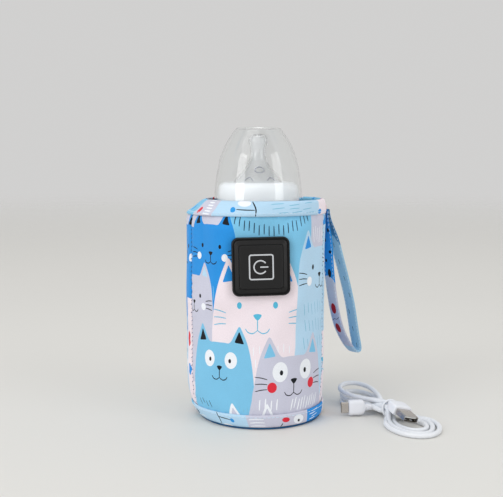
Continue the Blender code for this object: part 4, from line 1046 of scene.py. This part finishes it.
collar = lathe("collar_ring", [(21.9, 178.3), (24.6, 178.25), (27.2, 177.5), (29.3, 175.7), (30.4, 173.0), (30.9, 169.6), (31.0, 165.0), (31.0, 157.2), (30.7, 156.3), (30.2, 156.2), (28.6, 156.2), (28.5, 157.0), (28.5, 174.3), (20.7, 174.3), (20.6, 174.6), (20.6, 177.4), (21.0, 178.1), (21.9, 178.3)], WHITE, "collar", B, 128, 4, sharp=(11, 12, 13))
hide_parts("bottle_collar")
teat = lathe("teat_dome", [(0.0, 214.0), (2.6, 213.9), (4.8, 213.3), (6.6, 211.8), (7.4, 209.4), (7.1, 206.4), (6.1, 203.0), (5.85, 200.0), (6.2, 196.6), (7.6, 192.6), (10.4, 188.0), (14.0, 184.2), (17.0, 180.6), (18.8, 176.9), (19.6, 174.2), (20.6, 173.9), (27.2, 173.9),
    (27.2, 172.5), (19.4, 172.5), (18.2, 173.6), (17.2, 176.4), (15.6, 179.8), (12.8, 183.0), (9.4, 186.8), (6.5, 191.4), (4.9, 196.2), (4.5, 200.0), (4.7, 203.4), (5.6, 206.8), (5.9, 209.2), (5.3, 210.9), (4.0, 212.0), (2.2, 212.4), (0.0, 212.5)], SILICONE, "teat", B, 96, 3, sharp=(16, 17, 18))
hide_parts("bottle_teat")
hood = lathe("hood_dome", [(0.0, 219.6), (8.0, 219.55), (13.6, 219.35), (15.7, 218.95), (17.2, 217.9), (19.6, 214.9), (23.2, 209.4), (26.2, 203.4), (28.7, 196.9), (30.5, 189.5), (31.9, 181.6), (32.9, 172.9), (33.35, 166.0), (33.4, 161.2), (33.1, 160.6), (32.6, 160.6), (32.3, 161.2),
    (32.25, 166.0), (31.8, 172.8), (30.8, 181.4), (29.4, 189.2), (27.6, 196.5), (25.15, 202.9), (22.15, 208.8), (18.6, 214.2), (16.65, 216.9), (15.35, 217.95), (13.4, 218.5), (8.0, 218.8), (0.0, 218.85)], CLEAR, "hood", B, 128, 5)
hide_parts("bottle_hood")
for see_through in (hood, bottle, teat):
    see_through.visible_shadow = False


def on_teat(deg, z, lift=0.0):
    """A point of the teat's outside at a height on its sloping shoulder."""
    for (r0, z0), (r1, z1) in (((7.6, 192.6), (10.4, 188.0)), ((10.4, 188.0), (14.0, 184.2)), ((14.0, 184.2), (17.0, 180.6)), ((17.0, 180.6), (18.8, 176.9))):
        if z1 <= z <= z0:
            r = r0 + (r1 - r0) * (z0 - z) / (z0 - z1)
            break
    t = math.radians(deg)
    return Vector((BOTTLE_X + (r + lift) * math.cos(t), (r + lift) * math.sin(t), z + lift * 0.7))


vent = []
for k in range(40):
    a = 2 * math.pi * k / 40
    z = 187.4 + 2.1 * math.sin(a)
    vent.append(on_teat(270 + 17.5 * math.cos(a), z, 0.1))
vent_ring = bar("teat_vent_ring", vent, 0.42, VENT, "teat", 10, closed=True)
for n, (a0, a1) in enumerate(((231, 252), (288, 309))):
    pts = [on_teat(a0 + (a1 - a0) * k / 16, 179.6 + 2.2 * math.sin(math.pi * k / 16), 0.1) for k in range(17)]
    slit = bar(f"teat_air_slit_{n + 1}", pts, 0.42, VENT, "teat", 10)

# ------------------------------------------------- materials on the CAD pieces
LOOKS = {
    "insulation_foam": FOAM, "base_foam": FOAM, "heater_film": FILM, "heating_wire": WIRE, "base_board": STIFF, "control_board": BOARD,
    "switch_body": CHIP, "switch_plunger": CHIP, "control_chip": CHIP, "controller_back_plate": BLACK, "temperature_sensor": CHIP,
    "thermal_cutoff": STEEL, "heater_lead": CHIP, "inlet_lead": CHIP, "inlet_housing": BLACK_RIM, "inlet_contact_blade": CONTACT,
    "status_led_1": LENS, "status_led_2": LENS, "status_led_3": LENS, "usb_a_shell": STEEL, "usb_c_shell": STEEL, "usb_a_insert": CONTACT,
    "controller_screw_1": STEEL, "controller_screw_2": STEEL, "controller_screw_3": STEEL, "controller_screw_4": STEEL,
}
for name, mat in LOOKS.items():
    NODES[name].data.materials.clear()
    NODES[name].data.materials.append(mat)

# -------------------------------------------------------------- floor and light
floor_mat = solid("pale_floor", lin(221, 220, 216), 0.55, grain=40, bump=0.02, vary=0.012)
# The floor thins out with its distance from the object, so that it has no hard edge.
tree = floor_mat.node_tree
away = add(tree, "VectorMath", operation="LENGTH")
tree.links.new(add(tree, "TexCoord").outputs["Object"], away.inputs[0])
thin = add(tree, "MapRange", interpolation_type="SMOOTHSTEP", in_From_Min=0.7, in_From_Max=4.5)
tree.links.new(away.outputs["Value"], thin.inputs["Value"])
both = add(tree, "MixShader")
tree.links.new(thin.outputs[0], both.inputs[0])
tree.links.new(tree.nodes["Principled BSDF"].outputs[0], both.inputs[1])
tree.links.new(add(tree, "BsdfTransparent").outputs[0], both.inputs[2])
tree.links.new(both.outputs[0], tree.nodes["Material Output"].inputs["Surface"])
mesh = bpy.data.meshes.new("floor")
mesh.from_pydata([(-6, -6, 0), (6, -6, 0), (6, 6, 0), (-6, 6, 0)], [], [(0, 1, 2, 3)])
mesh.materials.append(floor_mat)
floor = bpy.data.objects.new("floor", mesh)
scene.collection.objects.link(floor)


def area_light(name, at, look, size, size_y, power, colour=(1, 1, 1)):
    data = bpy.data.lights.new(name, "AREA")
    data.shape, data.size, data.size_y, data.energy, data.color = "RECTANGLE", size, size_y, power, colour
    obj = bpy.data.objects.new(name, data)
    scene.collection.objects.link(obj)
    obj.location = at
    obj.rotation_euler = (Vector(look) - Vector(at)).to_track_quat("-Z", "Y").to_euler()
    return obj


area_light("softbox_left", (-1.0, -0.72, 0.52), (0, 0, 0.14), 0.55, 1.0, 4.6)
area_light("softbox_right", (0.95, -0.74, 0.52), (0, 0, 0.14), 0.55, 1.0, 3.4)
area_light("softbox_top", (0.0, 0.25, 1.5), (0, 0, 0), 1.4, 1.2, 2.5)
sun = bpy.data.lights.new("sky_fill", "SUN")
sun.energy, sun.angle = 0.62, math.radians(50)
sun_obj = bpy.data.objects.new("sky_fill", sun)
scene.collection.objects.link(sun_obj)
sun_obj.rotation_euler = Vector((0.45, 0.55, -1.0)).to_track_quat("-Z", "Y").to_euler()
world = bpy.data.worlds.new("studio")
world.use_nodes = True
world.node_tree.nodes["Background"].inputs["Color"].default_value = (0.86, 0.855, 0.848, 1)
world.node_tree.nodes["Background"].inputs["Strength"].default_value = 0.74
scene.world = world
scene.view_settings.view_transform = "Standard"
